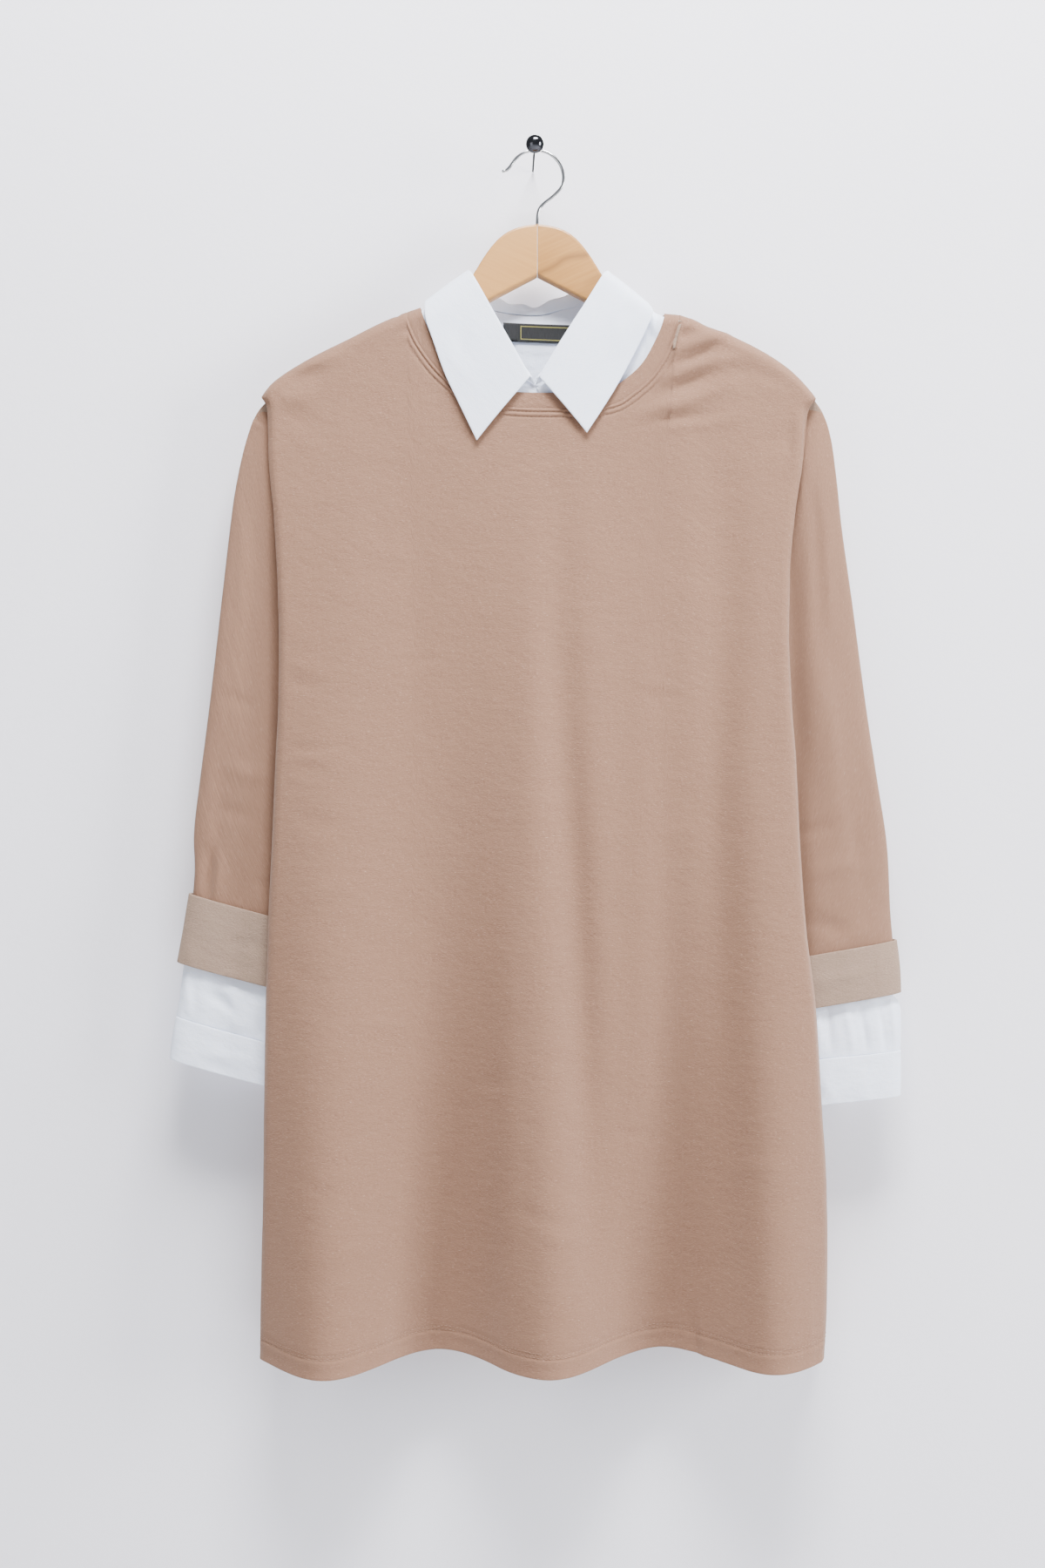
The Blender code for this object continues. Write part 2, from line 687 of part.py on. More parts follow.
def band_seam(share):
    """Width of the neckband's seam: a little more where it turns over the hanger."""
    return NECK_SEAM + 0.9 * (1 - ease(min(share, 1 - share) / 0.1))


def neckband_grid(steps, along_front, along_back):
    around = [(-1, share) for share in close_to_ends(along_front)]
    around += [(1, share) for share in reversed(close_to_ends(along_back)[1:-1])]
    return [
        [near_neckline(face, share, lerp(band_seam(share), BAND_WIDTH, i / steps), 0) for face, share in around]
        for i in range(steps + 1)
    ]


def toward_neck(point, distance):
    """The point moved in plan towards the middle of the neck."""
    run = (HANGER_X - point[0], HANG_Y - point[1])
    size = math.hypot(*run)
    return (point[0] + run[0] / size * distance, point[1] + run[1] / size * distance, point[2])


def leaf_edge(station):
    if station.face == 0:
        return (station.edge_x, HANG_Y, shoulder_height(station.edge_x) + station.lift)
    return on_panel(station.face, station.edge_x, station.edge_height, station.lift)


def leaf_grid(stations, steps):
    folds = [station.fold for station in COLLAR]
    edges = [leaf_edge(station) for station in COLLAR]
    grid = []
    for i in range(steps + 1):
        line = []
        for j in range(stations + 1):
            fold, edge = along_rows(folds, j / stations), along_rows(edges, j / stations)
            point = mix(fold, edge, i / steps)
            line.append(toward_neck(point, -LEAF_SWELL * math.sin(math.pi * i / steps)))
        grid.append(line)
    return grid


def along_rows(points, share):
    """A point of a smooth curve through points, which lie at even shares of it."""
    at = min(max(share, 0.0), 1.0) * (len(points) - 1)
    i = min(int(at), len(points) - 2)
    t = at - i
    quad = (points[max(i - 1, 0)], points[i], points[i + 1], points[min(i + 2, len(points) - 1)])
    return tuple(
        p1 * (1 + 2 * t) * (1 - t) ** 2
        + p2 * t * t * (3 - 2 * t)
        + (p2 - p0) / 2 * t * (1 - t) ** 2
        - (p3 - p1) / 2 * t * t * (1 - t)
        for p0, p1, p2, p3 in zip(*quad)
    )


def stand_top(share):
    """The stand's upper edge, under the fold of the leaf."""
    folds = [station.fold for station in COLLAR]
    fold = Vector(along_rows(folds, share))
    run = Vector(along_rows(folds, share + 0.01)) - Vector(along_rows(folds, share - 0.01))
    across = Vector(along_rows([leaf_edge(station) for station in COLLAR], share)) - fold
    outward = run.cross(across).normalized()
    return tuple(fold.lerp(Vector(stand_foot(share)), 0.1) - outward * STAND_INSIDE)


def stand_foot(share):
    return along_rows([station.stand for station in COLLAR], share)


def stand_grid(stations, steps):
    return [
        [mix(stand_top(j / stations), stand_foot(j / stations), i / steps) for j in range(stations + 1)]
        for i in range(steps + 1)
    ]


def inset_grid(face, feet, line_shares, lap=0.0, low=None):
    """The shirt part from the foot of the stand, under the neckband, to its own lower edge.

    feet are the shares of the stand's foot where it starts and ends, line_shares its columns along the
    neckline, lap how much further in its start lies, under the other front, and low how far below the
    neckline it reaches at a share of the way across.
    """
    columns = []
    for line_share in line_shares:
        across = (line_share - line_shares[0]) / (line_shares[-1] - line_shares[0])
        lapped = lap * (1 - ease(2.5 * across))
        lift = INSET_LIFT - lapped
        x, y, z = stand_foot(lerp(*feet, across))
        foot = (x, y - face * lapped, z)
        under_band = near_neckline(face, line_share, BAND_WIDTH + 1.0, lift)
        foot = mix(foot, under_band, INSET_BELOW / math.dist(foot, under_band))
        x, y, z = mix(foot, under_band, 0.5)
        z -= INSET_SAG * ease(math.dist(foot, under_band) / INSET_SAG_FROM)
        column = [foot, (x, y, z), under_band]
        seam = band_seam(line_share)
        column.append(near_neckline(face, line_share, lerp(seam, BAND_WIDTH, 0.5), lift))
        column.append(near_neckline(face, line_share, seam, lift))
        if low:
            x, _, z = near_neckline(face, line_share, seam, 0)
            column += [off_panel(face, x, z - low(across) * share, lift) for share in (0.35, 0.7, 1.0)]
        # Over the hanger the front's and the back's columns keep clear of each other, and in order.
        least = SHOULDER_SEAM + SEAM_GAP + 40 * min(line_share, 1 - line_share, 0.1)
        columns.append([(x, HANG_Y + face * max(face * (y - HANG_Y), least), z) for x, y, z in column])
    return [list(line) for line in zip(*columns)]


def half_moon(across):
    """How far the back inset reaches below the neckline, across the neck."""
    return 1.0 + INSET_BACK_DEEP * math.sin(math.pi * across) ** 1.5


def patch_grid(face, xs, top, tall, lift, columns, rows, slope=0.0):
    """A rectangle of cloth laid on a panel."""
    grid = []
    for i in range(rows + 1):
        line = []
        for j in range(columns + 1):
            x = lerp(*xs, j / columns)
            z = top - tall * i / rows + slope * (x - xs[0])
            line.append(on_panel(face, x, z, lift))
        grid.append(line)
    return grid


# ---- making meshes -------------------------------------------------------------------------------
def make_material(name, colour, roughness, metallic=0.0):
    material = bpy.data.materials.new(name)
    material.use_nodes = True
    shader = material.node_tree.nodes["Principled BSDF"]
    shader.inputs["Base Color"].default_value = (*colour, 1.0)
    shader.inputs["Roughness"].default_value = roughness
    shader.inputs["Metallic"].default_value = metallic
    material.diffuse_color = (*colour, 1.0)
    return material


def add_object(name, mesh, material):
    mesh.materials.append(material)
    piece = bpy.data.objects.new(name, mesh)
    PARTS.objects.link(piece)
    return piece


def cloth(name, grid, wall, material, round_=False, flip=False):
    """A grid of outer points made one wall of cloth, thickened inwards."""
    across = len(grid[0])
    points = [tuple(c * MM for c in point) for line in grid for point in line]
    faces = []
    for i in range(len(grid) - 1):
        for j in range(across if round_ else across - 1):
            a = i * across + j
            b = i * across + (j + 1) % across
            quad = (a, b, b + across, a + across)
            faces.append(quad[::-1] if flip else quad)
    mesh = bpy.data.meshes.new(name)
    mesh.from_pydata(points, [], faces)
    mesh.shade_smooth()
    piece = add_object(name, mesh, material)
    solid = piece.modifiers.new("Wall", "SOLIDIFY")
    solid.thickness = wall * MM
    solid.offset = -1
    return piece


# ---- the pieces ----------------------------------------------------------------------------------
def make_panels(knit):
    for name, face in (("front", -1), ("back", 1)):
        shares = panel_shares(SHOULDER_STEPS, close_to_ends(NECK_STEPS[face]))
        cloth(name, panel_grid(face, PANEL_ROWS, shares, 6), KNIT_WALL, knit, flip=face < 0)


def make_sleeves(knit, reverse, poplin):
    sides = (
        ("left", -1, LEFT_TURNUP, LEFT_STUB, LEFT_CUFF),
        ("right", 1, RIGHT_TURNUP, RIGHT_STUB, RIGHT_CUFF),
    )
    for side, sign, turnup, stub, cuff in sides:
        flip = sign < 0
        cloth("sleeve_" + side, sleeve_grid(sign, 10, 16), KNIT_WALL, knit, True, flip)
        cloth("turnup_" + side, loop_grid(turnup, 2, 18), KNIT_WALL, reverse, True, flip)
        stub_grid = loop_grid(stub, 2, 3 * PLEATS, pleats=PLEAT_DEPTH)
        cloth("shirt_sleeve_" + side, stub_grid, SHIRT_WALL, poplin, True, flip)
        cloth("shirt_cuff_" + side, loop_grid(cuff, 2, 18), COLLAR_WALL, poplin, True, flip)


def make_collar(knit, poplin, label):
    cloth("neckband", neckband_grid(2, NECK_STEPS[-1], NECK_STEPS[1]), KNIT_WALL, knit, True)
    cloth("collar_leaf", leaf_grid(40, 3), COLLAR_WALL, poplin)
    cloth("collar_stand", stand_grid(40, 1), COLLAR_WALL, poplin)
    last = len(COLLAR) - 1
    left, right = LEFT_CREST / last, RIGHT_CREST / last
    shares = close_to_ends(NECK_STEPS[-1])
    under = [LAP_UNDER] + [share for share in reversed(shares) if share < LAP_UNDER - 0.02]
    over = [LAP_EDGE] + [share for share in shares if share > LAP_EDGE + 0.02]
    lap = SHIRT_WALL + SEAM_GAP
    cloth("inset_front_left", inset_grid(-1, (0.0, left), under, lap), SHIRT_WALL, poplin)
    cloth("inset_front_right", inset_grid(-1, (1.0, right), over), SHIRT_WALL, poplin, flip=True)
    back = inset_grid(1, (left, right), close_to_ends(NECK_STEPS[1]), low=half_moon)
    cloth("inset_back", back, SHIRT_WALL, poplin)
    on_inset = INSET_LIFT - SHIRT_WALL - 2 * SEAM_GAP
    plate = patch_grid(1, LABEL_X, LABEL_TOP, LABEL_TALL, on_inset, 8, 2, LABEL_SLOPE)
    cloth("woven_label", plate, LABEL_WALL, label)
    on_label = on_inset - LABEL_WALL - SEAM_GAP
    tab = patch_grid(1, TAB_X, LABEL_TOP - 0.5, LABEL_TALL - 1.5, on_label, 2, 1, LABEL_SLOPE)
    cloth("size_tab", tab, LABEL_WALL, label)


def hanger_outline():
    """The right half of the hanger, as reach and height, round from the top of its middle."""
    top = [(edge.reach, edge.height) for edge in HANGER_TOP]
    end_reach = top[-1][0]
    slope = math.tan(math.radians(HANGER_SLOPE))
    foot = (end_reach - 6, HANGER_UNDER - slope * (end_reach - 6))
    inner = (SEAM_GAP / 2, HANGER_UNDER - slope * SEAM_GAP / 2)
    top[0] = (SEAM_GAP / 2, top[0][1])
    corner = (end_reach, foot[1] + 5)
    return top + [corner, foot, inner]


def make_hanger(beech, chrome):
    for side, sign in (("left", -1), ("right", 1)):
        curve = bpy.data.curves.new("hanger_arm_" + side, "CURVE")
        curve.dimensions = "2D"
        curve.fill_mode = "BOTH"
        curve.extrude = (HANGER_THICK / 2 - HANGER_EDGE) * MM
        curve.bevel_depth = HANGER_EDGE * MM
        curve.bevel_resolution = 1
        curve.offset = -HANGER_EDGE * MM
        outline = hanger_outline()
        line = curve.splines.new("POLY")
        line.points.add(len(outline) - 1)
        line.use_cyclic_u = True
        for point, (reach, height) in zip(line.points, outline):
            point.co = (sign * reach * MM, height * MM, 0, 1)
        arm = bpy.data.objects.new("hanger_arm_" + side, curve)
        arm.location = (HANGER_X * MM, HANG_Y * MM, 0)
        arm.rotation_euler = (math.pi / 2, 0, 0)
        curve.materials.append(beech)
        PARTS.objects.link(arm)
    make_hook(chrome)


def hook_route():
    """The hook's middle line: up out of the hanger, round over the pin and down to its curled tip."""
    centre_x, centre_z = HOOK_X, pin_top() + SEAM_GAP + WIRE / 2 - HOOK_RADIUS
    stem = [
        (HANGER_X - 0.1, HANGER_TOP[0].height + SEAM_GAP),
        (HANGER_X, -50),
        (HANGER_X + 0.5, -45.5),
        (HANGER_X + 2, -41),
        (HANGER_X + 6, -36.6),
        (HANGER_X + 11.5, -32.4),
        (HANGER_X + 17, -27.3),
    ]
    arc = []
    for step in range(17):
        angle = math.radians(lerp(-16, 150, step / 16))
        arc.append((centre_x + HOOK_RADIUS * math.cos(angle), centre_z + HOOK_RADIUS * math.sin(angle)))
    tip_x, tip_z = arc[-1]
    curl = [(tip_x - 2.2, tip_z - 3.0), (tip_x - 4.6, tip_z - 5.2), (tip_x - 7.2, tip_z - 6.0)]
    return [(x, HANG_Y, z) for x, z in stem + arc + curl]


def pin_top():
    """Height of the top of the pin's shank where the hook crosses it."""
    rise = PIN_TIP[2] / -PIN_TIP[1]
    return rise * -HANG_Y + PIN_SHANK / 2 / math.cos(math.atan(rise))


def make_hook(chrome):
    curve = bpy.data.curves.new("hanger_hook", "CURVE")
    curve.dimensions = "3D"
    curve.bevel_depth = WIRE / 2 * MM
    curve.bevel_resolution = 2
    curve.use_fill_caps = True
    route = hook_route()
    line = curve.splines.new("POLY")
    line.points.add(len(route) - 1)
    for point, place in zip(line.points, route):
        point.co = (*(c * MM for c in place), 1)
    curve.materials.append(chrome)
    PARTS.objects.link(bpy.data.objects.new("hanger_hook", curve))


def make_pin(chrome):
    """A turned pin: the profile of its shank and ball, spun round its axis."""
    length = math.dist((0, 0, 0), PIN_TIP)
    ball, shank = PIN_BALL / 2, PIN_SHANK / 2
    profile = [(0.0, 0.0), (shank, 0.0)]
    start = math.pi - math.asin(shank / ball)
    for step in range(11):
        angle = start * (1 - step / 10)
        profile.append((ball * math.sin(angle), length + ball * math.cos(angle)))
    mesh = bpy.data.meshes.new("wall_pin")
    edges = [(i, i + 1) for i in range(len(profile) - 1)]
    mesh.from_pydata([(r * MM, 0, z * MM) for r, z in reversed(profile)], edges, [])
    pin = add_object("wall_pin", mesh, chrome)
    screw = pin.modifiers.new("Turn", "SCREW")
    screw.steps = screw.render_steps = 18
    screw.use_merge_vertices = True
    screw.merge_threshold = 0.00001
    pin.rotation_mode = "QUATERNION"
    pin.rotation_quaternion = Vector(PIN_TIP).to_track_quat("Z", "Y")


PARTS = bpy.data.collections.new("tunic_sweatshirt")


def main():
    for old in list(bpy.data.objects):
        bpy.data.objects.remove(old, do_unlink=True)
    bpy.context.scene.collection.children.link(PARTS)
    knit = make_material("Sweatshirt fleece", (0.49, 0.36, 0.30), 0.95)
    reverse = make_material("Sweatshirt fleece, reverse", (0.46, 0.37, 0.31), 0.95)
    poplin = make_material("Shirt poplin", (0.87, 0.89, 0.94), 0.8)
    make_panels(knit)
    make_sleeves(knit, reverse, poplin)
    label = make_material("Woven label", (0.03, 0.03, 0.035), 0.7)
    make_collar(knit, poplin, label)
    beech = make_material("Beech", (0.72, 0.52, 0.32), 0.45)
    chrome = make_material("Chromed steel", (0.55, 0.55, 0.56), 0.15, 1.0)
    make_hanger(beech, chrome)
    make_pin(chrome)


main()
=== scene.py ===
"""The looks of a tunic sweatshirt with a mock shirt collar and cuffs, on a wooden hanger.

Every sheet of cloth is worked out from the same tables as its solid: a front and a back panel that lie on
both faces of the hanger, sleeves that hang in the side pleats, and a shirt collar whose leaf rests on the
panels. On top of that form come the creases, each placed one by one, the seams and the stitching.

The wall is the plane y = 0, the viewer stands at -Y, and +Z is up. Left and right are the viewer's.
Lengths in the tables are millimetres; MM turns them to metres when a mesh is made.
"""

import math
from bisect import bisect_right
from collections import namedtuple

import bmesh
import bpy
import numpy as np
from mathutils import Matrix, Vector

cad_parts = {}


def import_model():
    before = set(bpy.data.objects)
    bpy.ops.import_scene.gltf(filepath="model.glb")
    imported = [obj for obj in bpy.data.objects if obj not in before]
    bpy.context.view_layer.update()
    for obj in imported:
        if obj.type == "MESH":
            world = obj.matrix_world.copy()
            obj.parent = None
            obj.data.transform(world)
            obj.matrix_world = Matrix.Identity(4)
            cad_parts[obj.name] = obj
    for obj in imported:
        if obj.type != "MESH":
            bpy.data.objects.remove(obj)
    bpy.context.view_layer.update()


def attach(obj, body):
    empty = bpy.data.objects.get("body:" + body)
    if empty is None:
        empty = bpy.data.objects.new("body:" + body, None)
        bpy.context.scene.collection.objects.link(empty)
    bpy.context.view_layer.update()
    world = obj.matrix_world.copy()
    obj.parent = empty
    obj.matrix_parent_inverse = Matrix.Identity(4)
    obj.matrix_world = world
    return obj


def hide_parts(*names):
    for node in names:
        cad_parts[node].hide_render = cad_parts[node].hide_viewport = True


MM = 0.001
# ---- driving dimensions, millimetres -------------------------------------------------------------
SEAM_GAP = 0.3  # between two pieces that are sewn together
KNIT_WALL = 1.8  # sweatshirt fleece
SHIRT_WALL = 1.0  # shirt poplin
COLLAR_WALL = 1.6  # two layers of poplin with an interlining
LABEL_WALL = 0.6

HANG_Y = -33.0  # mid-plane of the hanger, and of the side pleats
HANGER_THICK = 12.0
HANGER_X = 3.5  # the hanger's centre line
WIRE = 2.6  # diameter of the hook's wire
HOOK_RADIUS = 23.0
PIN_SHANK = 2.4
PIN_BALL = 15.0
PIN_TIP = (1.4, -50.0, 6.7)  # centre of the ball

SHOULDER_ROUND = 11.5  # radius of the cloth over the hanger's top edge
SHOULDER_SEAM = 1.1  # half of the groove along the shoulder seam
TIP_REACH = 4.0  # how far the panels run on past their side folds at the shoulders' tips
TIP_EASE = 16.0  # the height over which that dies out
FOLD_ROUND = 4.0  # half width of the fold at the panels' sides
PLEAT_CLEAR = 1.6  # air between a panel's tucked side and the sleeve
BAND_WIDTH = 13.0  # neckband
NECK_SEAM = 0.9  # between it and the panels
WAVE_LENGTH = 182.0  # of the flutes that the panels hang in
HEM_DIP = 5.0  # how much lower the hem hangs where a flute comes forward
FOLD_STEEPNESS = 2.5  # of the walls of the front's inner fold
FOLD_LEAST = 3.2  # from a panel's outer face to its tucked side, where nothing lies between them
SEAM_TURN = 7.0  # the width over which the tucked side turns to the side seam
BACK_PAST = 9.0  # how far the back panel shows past the right side seam at the hem
BACK_PAST_FROM = -900.0  # from this height down, growing over BACK_PAST_EASE
BACK_PAST_EASE = 90.0
FOLD_IN_FROM = -215.0  # the back's fold lies further in from here down, growing over FOLD_IN_EASE
FOLD_IN_EASE = 60.0
TIP_X = {-1: -221.5, 1: 230.5}  # where the shoulder line meets the side folds
PROBE = 0.3  # how far to each side the panels' slope is measured

# The line along the top of the shoulders, over the hanger.
Shoulder = namedtuple("Shoulder", "x height")
SHOULDER_LINE = (
    Shoulder(-246, -262),
    Shoulder(-238.5, -222),
    Shoulder(-233.5, -210.5),
    Shoulder(-227, -200),
    Shoulder(-217, -187),
    Shoulder(-192, -170),
    Shoulder(-151, -149),
    Shoulder(-124, -135.6),
    Shoulder(-106, -128.3),
    Shoulder(-90, -122.5),
    Shoulder(-72, -111.5),
    Shoulder(-52, -96),
    Shoulder(-30, -78),
    Shoulder(HANGER_X, -66),
    Shoulder(37, -78),
    Shoulder(60, -96.5),
    Shoulder(80, -114.5),
    Shoulder(92, -122.5),
    Shoulder(104, -127.5),
    Shoulder(109, -129),
    Shoulder(122, -130.3),
    Shoulder(146, -140),
    Shoulder(179.5, -154.5),
    Shoulder(210.5, -173.5),
    Shoulder(230, -193),
    Shoulder(241.5, -210.5),
    Shoulder(247, -225),
    Shoulder(253, -262),
)

# How far the panels stand from the hanger's mid-plane, by the drop below the shoulder line.
Depth = namedtuple("Depth", "drop front back")
DEPTHS = (
    Depth(0, 11.5, 11.5),
    Depth(50, 12.2, 12.7),
    Depth(100, 13.5, 16),
    Depth(170, 15.5, 17.5),
    Depth(250, 19.5, 19),
    Depth(400, 27.5, 22.5),
    Depth(500, 31.5, 25),
    Depth(600, 33, 25),
    Depth(700, 32, 22.5),
    Depth(830, 31, 20),
)

# The flutes' depth, by height: half of the way from trough to ridge.
Flute = namedtuple("Flute", "height front back")
FLUTES = (
    Flute(-1010, 27, 4),
    Flute(-900, 22.5, 3.5),
    Flute(-750, 15, 2),
    Flute(-600, 8.5, 1),
    Flute(-450, 4, 0),
    Flute(-320, 1.2, 0),
    Flute(-240, 0, 0),
)
FRONT_RIDGE_X = 13.0  # a front flute's ridge, next to the middle
BACK_RIDGE_X = 60.0

NECK_FROM = 0.27  # the shares of a panel's top edge where its neckline starts and ends
NECK_TO = 0.75

# One more fold on the front, between two flutes, that starts under the collar and dies out low down.
Crease = namedtuple("Crease", "height x half_width depth")
INNER_FOLD = (
    Crease(-950, 50, 38, 0),
    Crease(-850, 42, 36, 4),
    Crease(-690, 33, 33, 6),
    Crease(-500, 24, 30, 4.5),
    Crease(-330, 21, 26, 2.5),
    Crease(-230, 18, 24, 0),
)

# The body's sides by height: where each panel folds, how far in its side seam lies, and the half depth
# of the room that the sleeve takes in the pleat.
Side = namedtuple("Side", "height fold tuck room")
LEFT_SIDE = (
    Side(-1000, -225, 5, 8),
    Side(-950, -224.2, 9, 10),
    Side(-900, -223, 20, 12),
    Side(-850, -221.5, 33, 15),
    Side(-790, -220.5, 43, 17.5),
    Side(-700, -219, 44, 17.5),
    Side(-620, -216.5, 43, 17),
    Side(-560, -214.3, 40, 13),
    Side(-500, -212, 36, 12),
    Side(-450, -210, 30, 10),
    Side(-400, -210, 21, 7.5),
    Side(-350, -211.5, 14, 6.8),
    Side(-300, -214.5, 9.5, 6),
    Side(-250, -219, 5, 4.8),
    Side(-215, -220, 2.5, 2.4),
    Side(-200, -222, 2, 0.6),
)
RIGHT_SIDE = (
    Side(-1000, 237.5, 2, 8),
    Side(-950, 240.5, 4, 10),
    Side(-900, 241, 14, 12),
    Side(-850, 240, 37, 15),
    Side(-790, 236, 52, 17.5),
    Side(-700, 230.5, 47, 17.5),
    Side(-640, 223.3, 42, 17),
    Side(-580, 219.3, 38, 13),
    Side(-500, 215.6, 34, 12),
    Side(-450, 212, 30, 10),
    Side(-400, 210.5, 21, 7.5),
    Side(-350, 211.5, 14, 6.8),
    Side(-300, 216, 10, 6),
    Side(-250, 223.5, 6, 4.8),
    Side(-215, 227, 2.5, 2.4),
    Side(-200, 232, 2, 0.6),
)
HEM_Z = -995.0
UNDERARM_Z = -400.0
ARMHOLE_TOP_Z = -203.0
ARMHOLE_GAP = 5.0  # half of the width that each armhole is open
BACK_FOLD_IN = 3.0  # the back panel's side folds lie this much inside the front's

# Neckline of the front and the back, as seen from in front.
Point = namedtuple("Point", "x height")
HEM_LINE = (Point(-226, -995), Point(-168, -995.5), Point(10, -995), Point(190, -991), Point(245, -990))
FRONT_NECKLINE = (
    Point(-106, -128.3),
    Point(-102.5, -140),
    Point(-94, -158),
    Point(-76, -181),
    Point(-52, -199.5),
    Point(-27, -208.5),
    Point(18, -210.5),
    Point(62, -208),
    Point(82, -197.5),
    Point(101, -179.5),
    Point(115, -154),
    Point(120.5, -138),
    Point(122, -130.3),
)
BACK_NECKLINE = (
    Point(-106, -128.3),
    Point(-88, -139.5),
    Point(-55, -148),
    Point(8, -152.5),
    Point(70, -149),
    Point(104, -141),
    Point(122, -130.3),
)

# The collar, station by station from the left front end round the back of the neck to the right one.
# Its fold line and the lower edge of its stand are points in space; the leaf's outer edge lies on the
# panels, at this lift, in front of the hanger (face -1), over it (0) or behind it (1).
Station = namedtuple("Station", "fold stand edge_x edge_height lift face")
COLLAR = (
    Station((-2.6, -51.5, -184.6), (1.2, -45.0, -190.5), -46.7, -237.3, 4.2, -1),
    Station((-14.6, -51, -162.6), (-20, -44.2, -176), -61.2, -207, 4.0, -1),
    Station((-26.8, -49.5, -140.8), (-42, -43.2, -160), -73.3, -181.3, 3.8, -1),
    Station((-39.1, -46.5, -118.2), (-57, -43, -138), -82.8, -154.3, 3.6, -1),
    Station((-46.2, -44.5, -105.2), (-62.5, -43, -121), -88.7, -137, 3.6, -1),
    Station((-51.2, -41.6, -96.6), (-65, -41.2, -112.5), -90, -123, 3.6, -1),
    Station((-54.6, -33, -92.4), (-66.5, -33, -107), -89, -118.8, 3.6, 0),
    Station((-52.6, -24.6, -95.2), (-65, -24.8, -111), -88.5, -124, 3.6, 1),
    Station((-46, -20.4, -101.5), (-55, -21, -116.5), -82, -142, 3.6, 1),
    Station((-29.4, -15.8, -112.2), (-30, -19, -124), -50, -158, 3.6, 1),
    Station((0, -14.6, -117.5), (3, -18.2, -127), 4, -163, 3.6, 1),
    Station((22, -15.2, -111), (26, -18.6, -122), 42, -160, 3.6, 1),
    Station((46.5, -20, -101), (60, -21, -115.5), 84, -146, 3.6, 1),
    Station((58, -24.6, -95.7), (71.5, -24.8, -111), 95, -128, 3.6, 1),
    Station((61.8, -33, -92.8), (73.5, -33, -108), 94.5, -120, 3.6, 0),
    Station((58.6, -41.6, -96.8), (72.5, -41.2, -113), 97, -124, 3.6, -1),
    Station((53.6, -44.5, -104.8), (71, -43, -122), 98.8, -131, 3.6, -1),
    Station((45, -46.5, -119), (66, -43, -139), 93.7, -144, 3.6, -1),
    Station((31.2, -49.5, -140.8), (50, -43.2, -160), 84.4, -163, 3.8, -1),
    Station((17.6, -51, -162.6), (27, -44.2, -177), 66, -197, 4.0, -1),
    Station((4.6, -51.5, -184.6), (1.9, -45.0, -190.5), 44.1, -231, 4.2, -1),
)
LEFT_CREST = 6  # the stations where the collar passes over the hanger
RIGHT_CREST = 14
STAND_INSIDE = 2.3  # the stand's outer face behind the leaf's outer face
LEAF_SWELL = 0.8  # how far the leaf bows out between its fold and its edge

# The sleeves, ring by ring from the armhole to the end. Each ring is a flattened loop between its outer
# and its inner point, with a half depth; the first one is the armhole itself.
Ring = namedtuple("Ring", "outer inner half_depth")
LEFT_SLEEVE = (
    Ring((-226.6, -201.8), (-190.3, -399), 2.0),
    Ring((-234.2, -212.4), (-190.8, -402), 4.2),
    Ring((-240.2, -231), (-191.2, -405), 5.2),
    Ring((-246, -262), (-190.5, -413), 5.8),
    Ring((-252, -306), (-189, -424), 6.6),
    Ring((-259.5, -371), (-186, -442), 8.0),
    Ring((-268.2, -447), (-184.4, -478), 9.6),
    Ring((-277, -516), (-184, -530), 10.6),
    Ring((-282, -560), (-183.5, -574), 11.4),
    Ring((-281.5, -598), (-183, -622), 12.2),
    Ring((-287.5, -645), (-182.4, -672), 13.6),
    Ring((-293.9, -667.1), (-181.9, -697.1), 14.2),
)
RIGHT_SLEEVE = (
    Ring((235.2, -199.6), (190.3, -399), 2.0),
    Ring((243, -212.4), (190.8, -402), 4.2),
    Ring((248.6, -232), (191.2, -405), 5.2),
    Ring((252.3, -263), (190.5, -413), 5.8),
    Ring((256.5, -306), (189, -424), 6.6),
    Ring((265.5, -371), (187.2, -442), 8.0),
    Ring((275.5, -447), (187.6, -478), 9.6),
    Ring((285.5, -516), (189, -530), 10.6),
    Ring((294, -571), (190, -584), 11.4),
    Ring((297, -628), (190.6, -648), 12.2),
    Ring((301.2, -672), (191, -690), 13.6),
    Ring((303.3, -692.2), (191.3, -711.7), 14.2),
)
LEFT_TURNUP = (
    Ring((-286.2, -610.5), (-179.8, -639), 15.4),
    Ring((-291, -640), (-179.6, -669), 16.5),
    Ring((-296, -667.5), (-179.8, -697.5), 16.9),
)
RIGHT_TURNUP = (
    Ring((302.2, -649), (188.8, -668.5), 15.4),
    Ring((304.8, -671), (188.8, -691), 16.6),
    Ring((305.8, -692.5), (189, -712), 17.0),
)
LEFT_STUB = (
    Ring((-284.5, -650), (-187.5, -680), 9.6),
    Ring((-289.4, -665), (-186, -694), 11.2),
    Ring((-291.4, -677), (-184.8, -707), 13.0),
    Ring((-293.9, -697), (-184.2, -728), 13.2),
    Ring((-296.6, -712.4), (-184, -743.1), 12.4),
)
RIGHT_STUB = (
    Ring((296, -676), (197, -695), 9.6),
    Ring((297, -691), (195.8, -709), 10.4),
    Ring((304.6, -703), (192.8, -720), 12.6),
    Ring((306, -720), (191.6, -735), 13.2),
    Ring((305.6, -740.4), (191.4, -751.1), 12.4),
)
LEFT_CUFF = (
    Ring((-296.8, -712.9), (-184, -743.6), 13.4),
    Ring((-300, -730), (-183.6, -761.5), 13.8),
    Ring((-302, -748), (-183.4, -779.5), 13.4),
)
RIGHT_CUFF = (
    Ring((305.6, -740.9), (191.6, -751.6), 13.4),
    Ring((306, -759), (191.8, -771), 13.8),
    Ring((305.6, -778.5), (192.2, -789.5), 13.4),
)
PLEATS = 13  # round each pleated sleeve end
PLEAT_DEPTH = 0.9
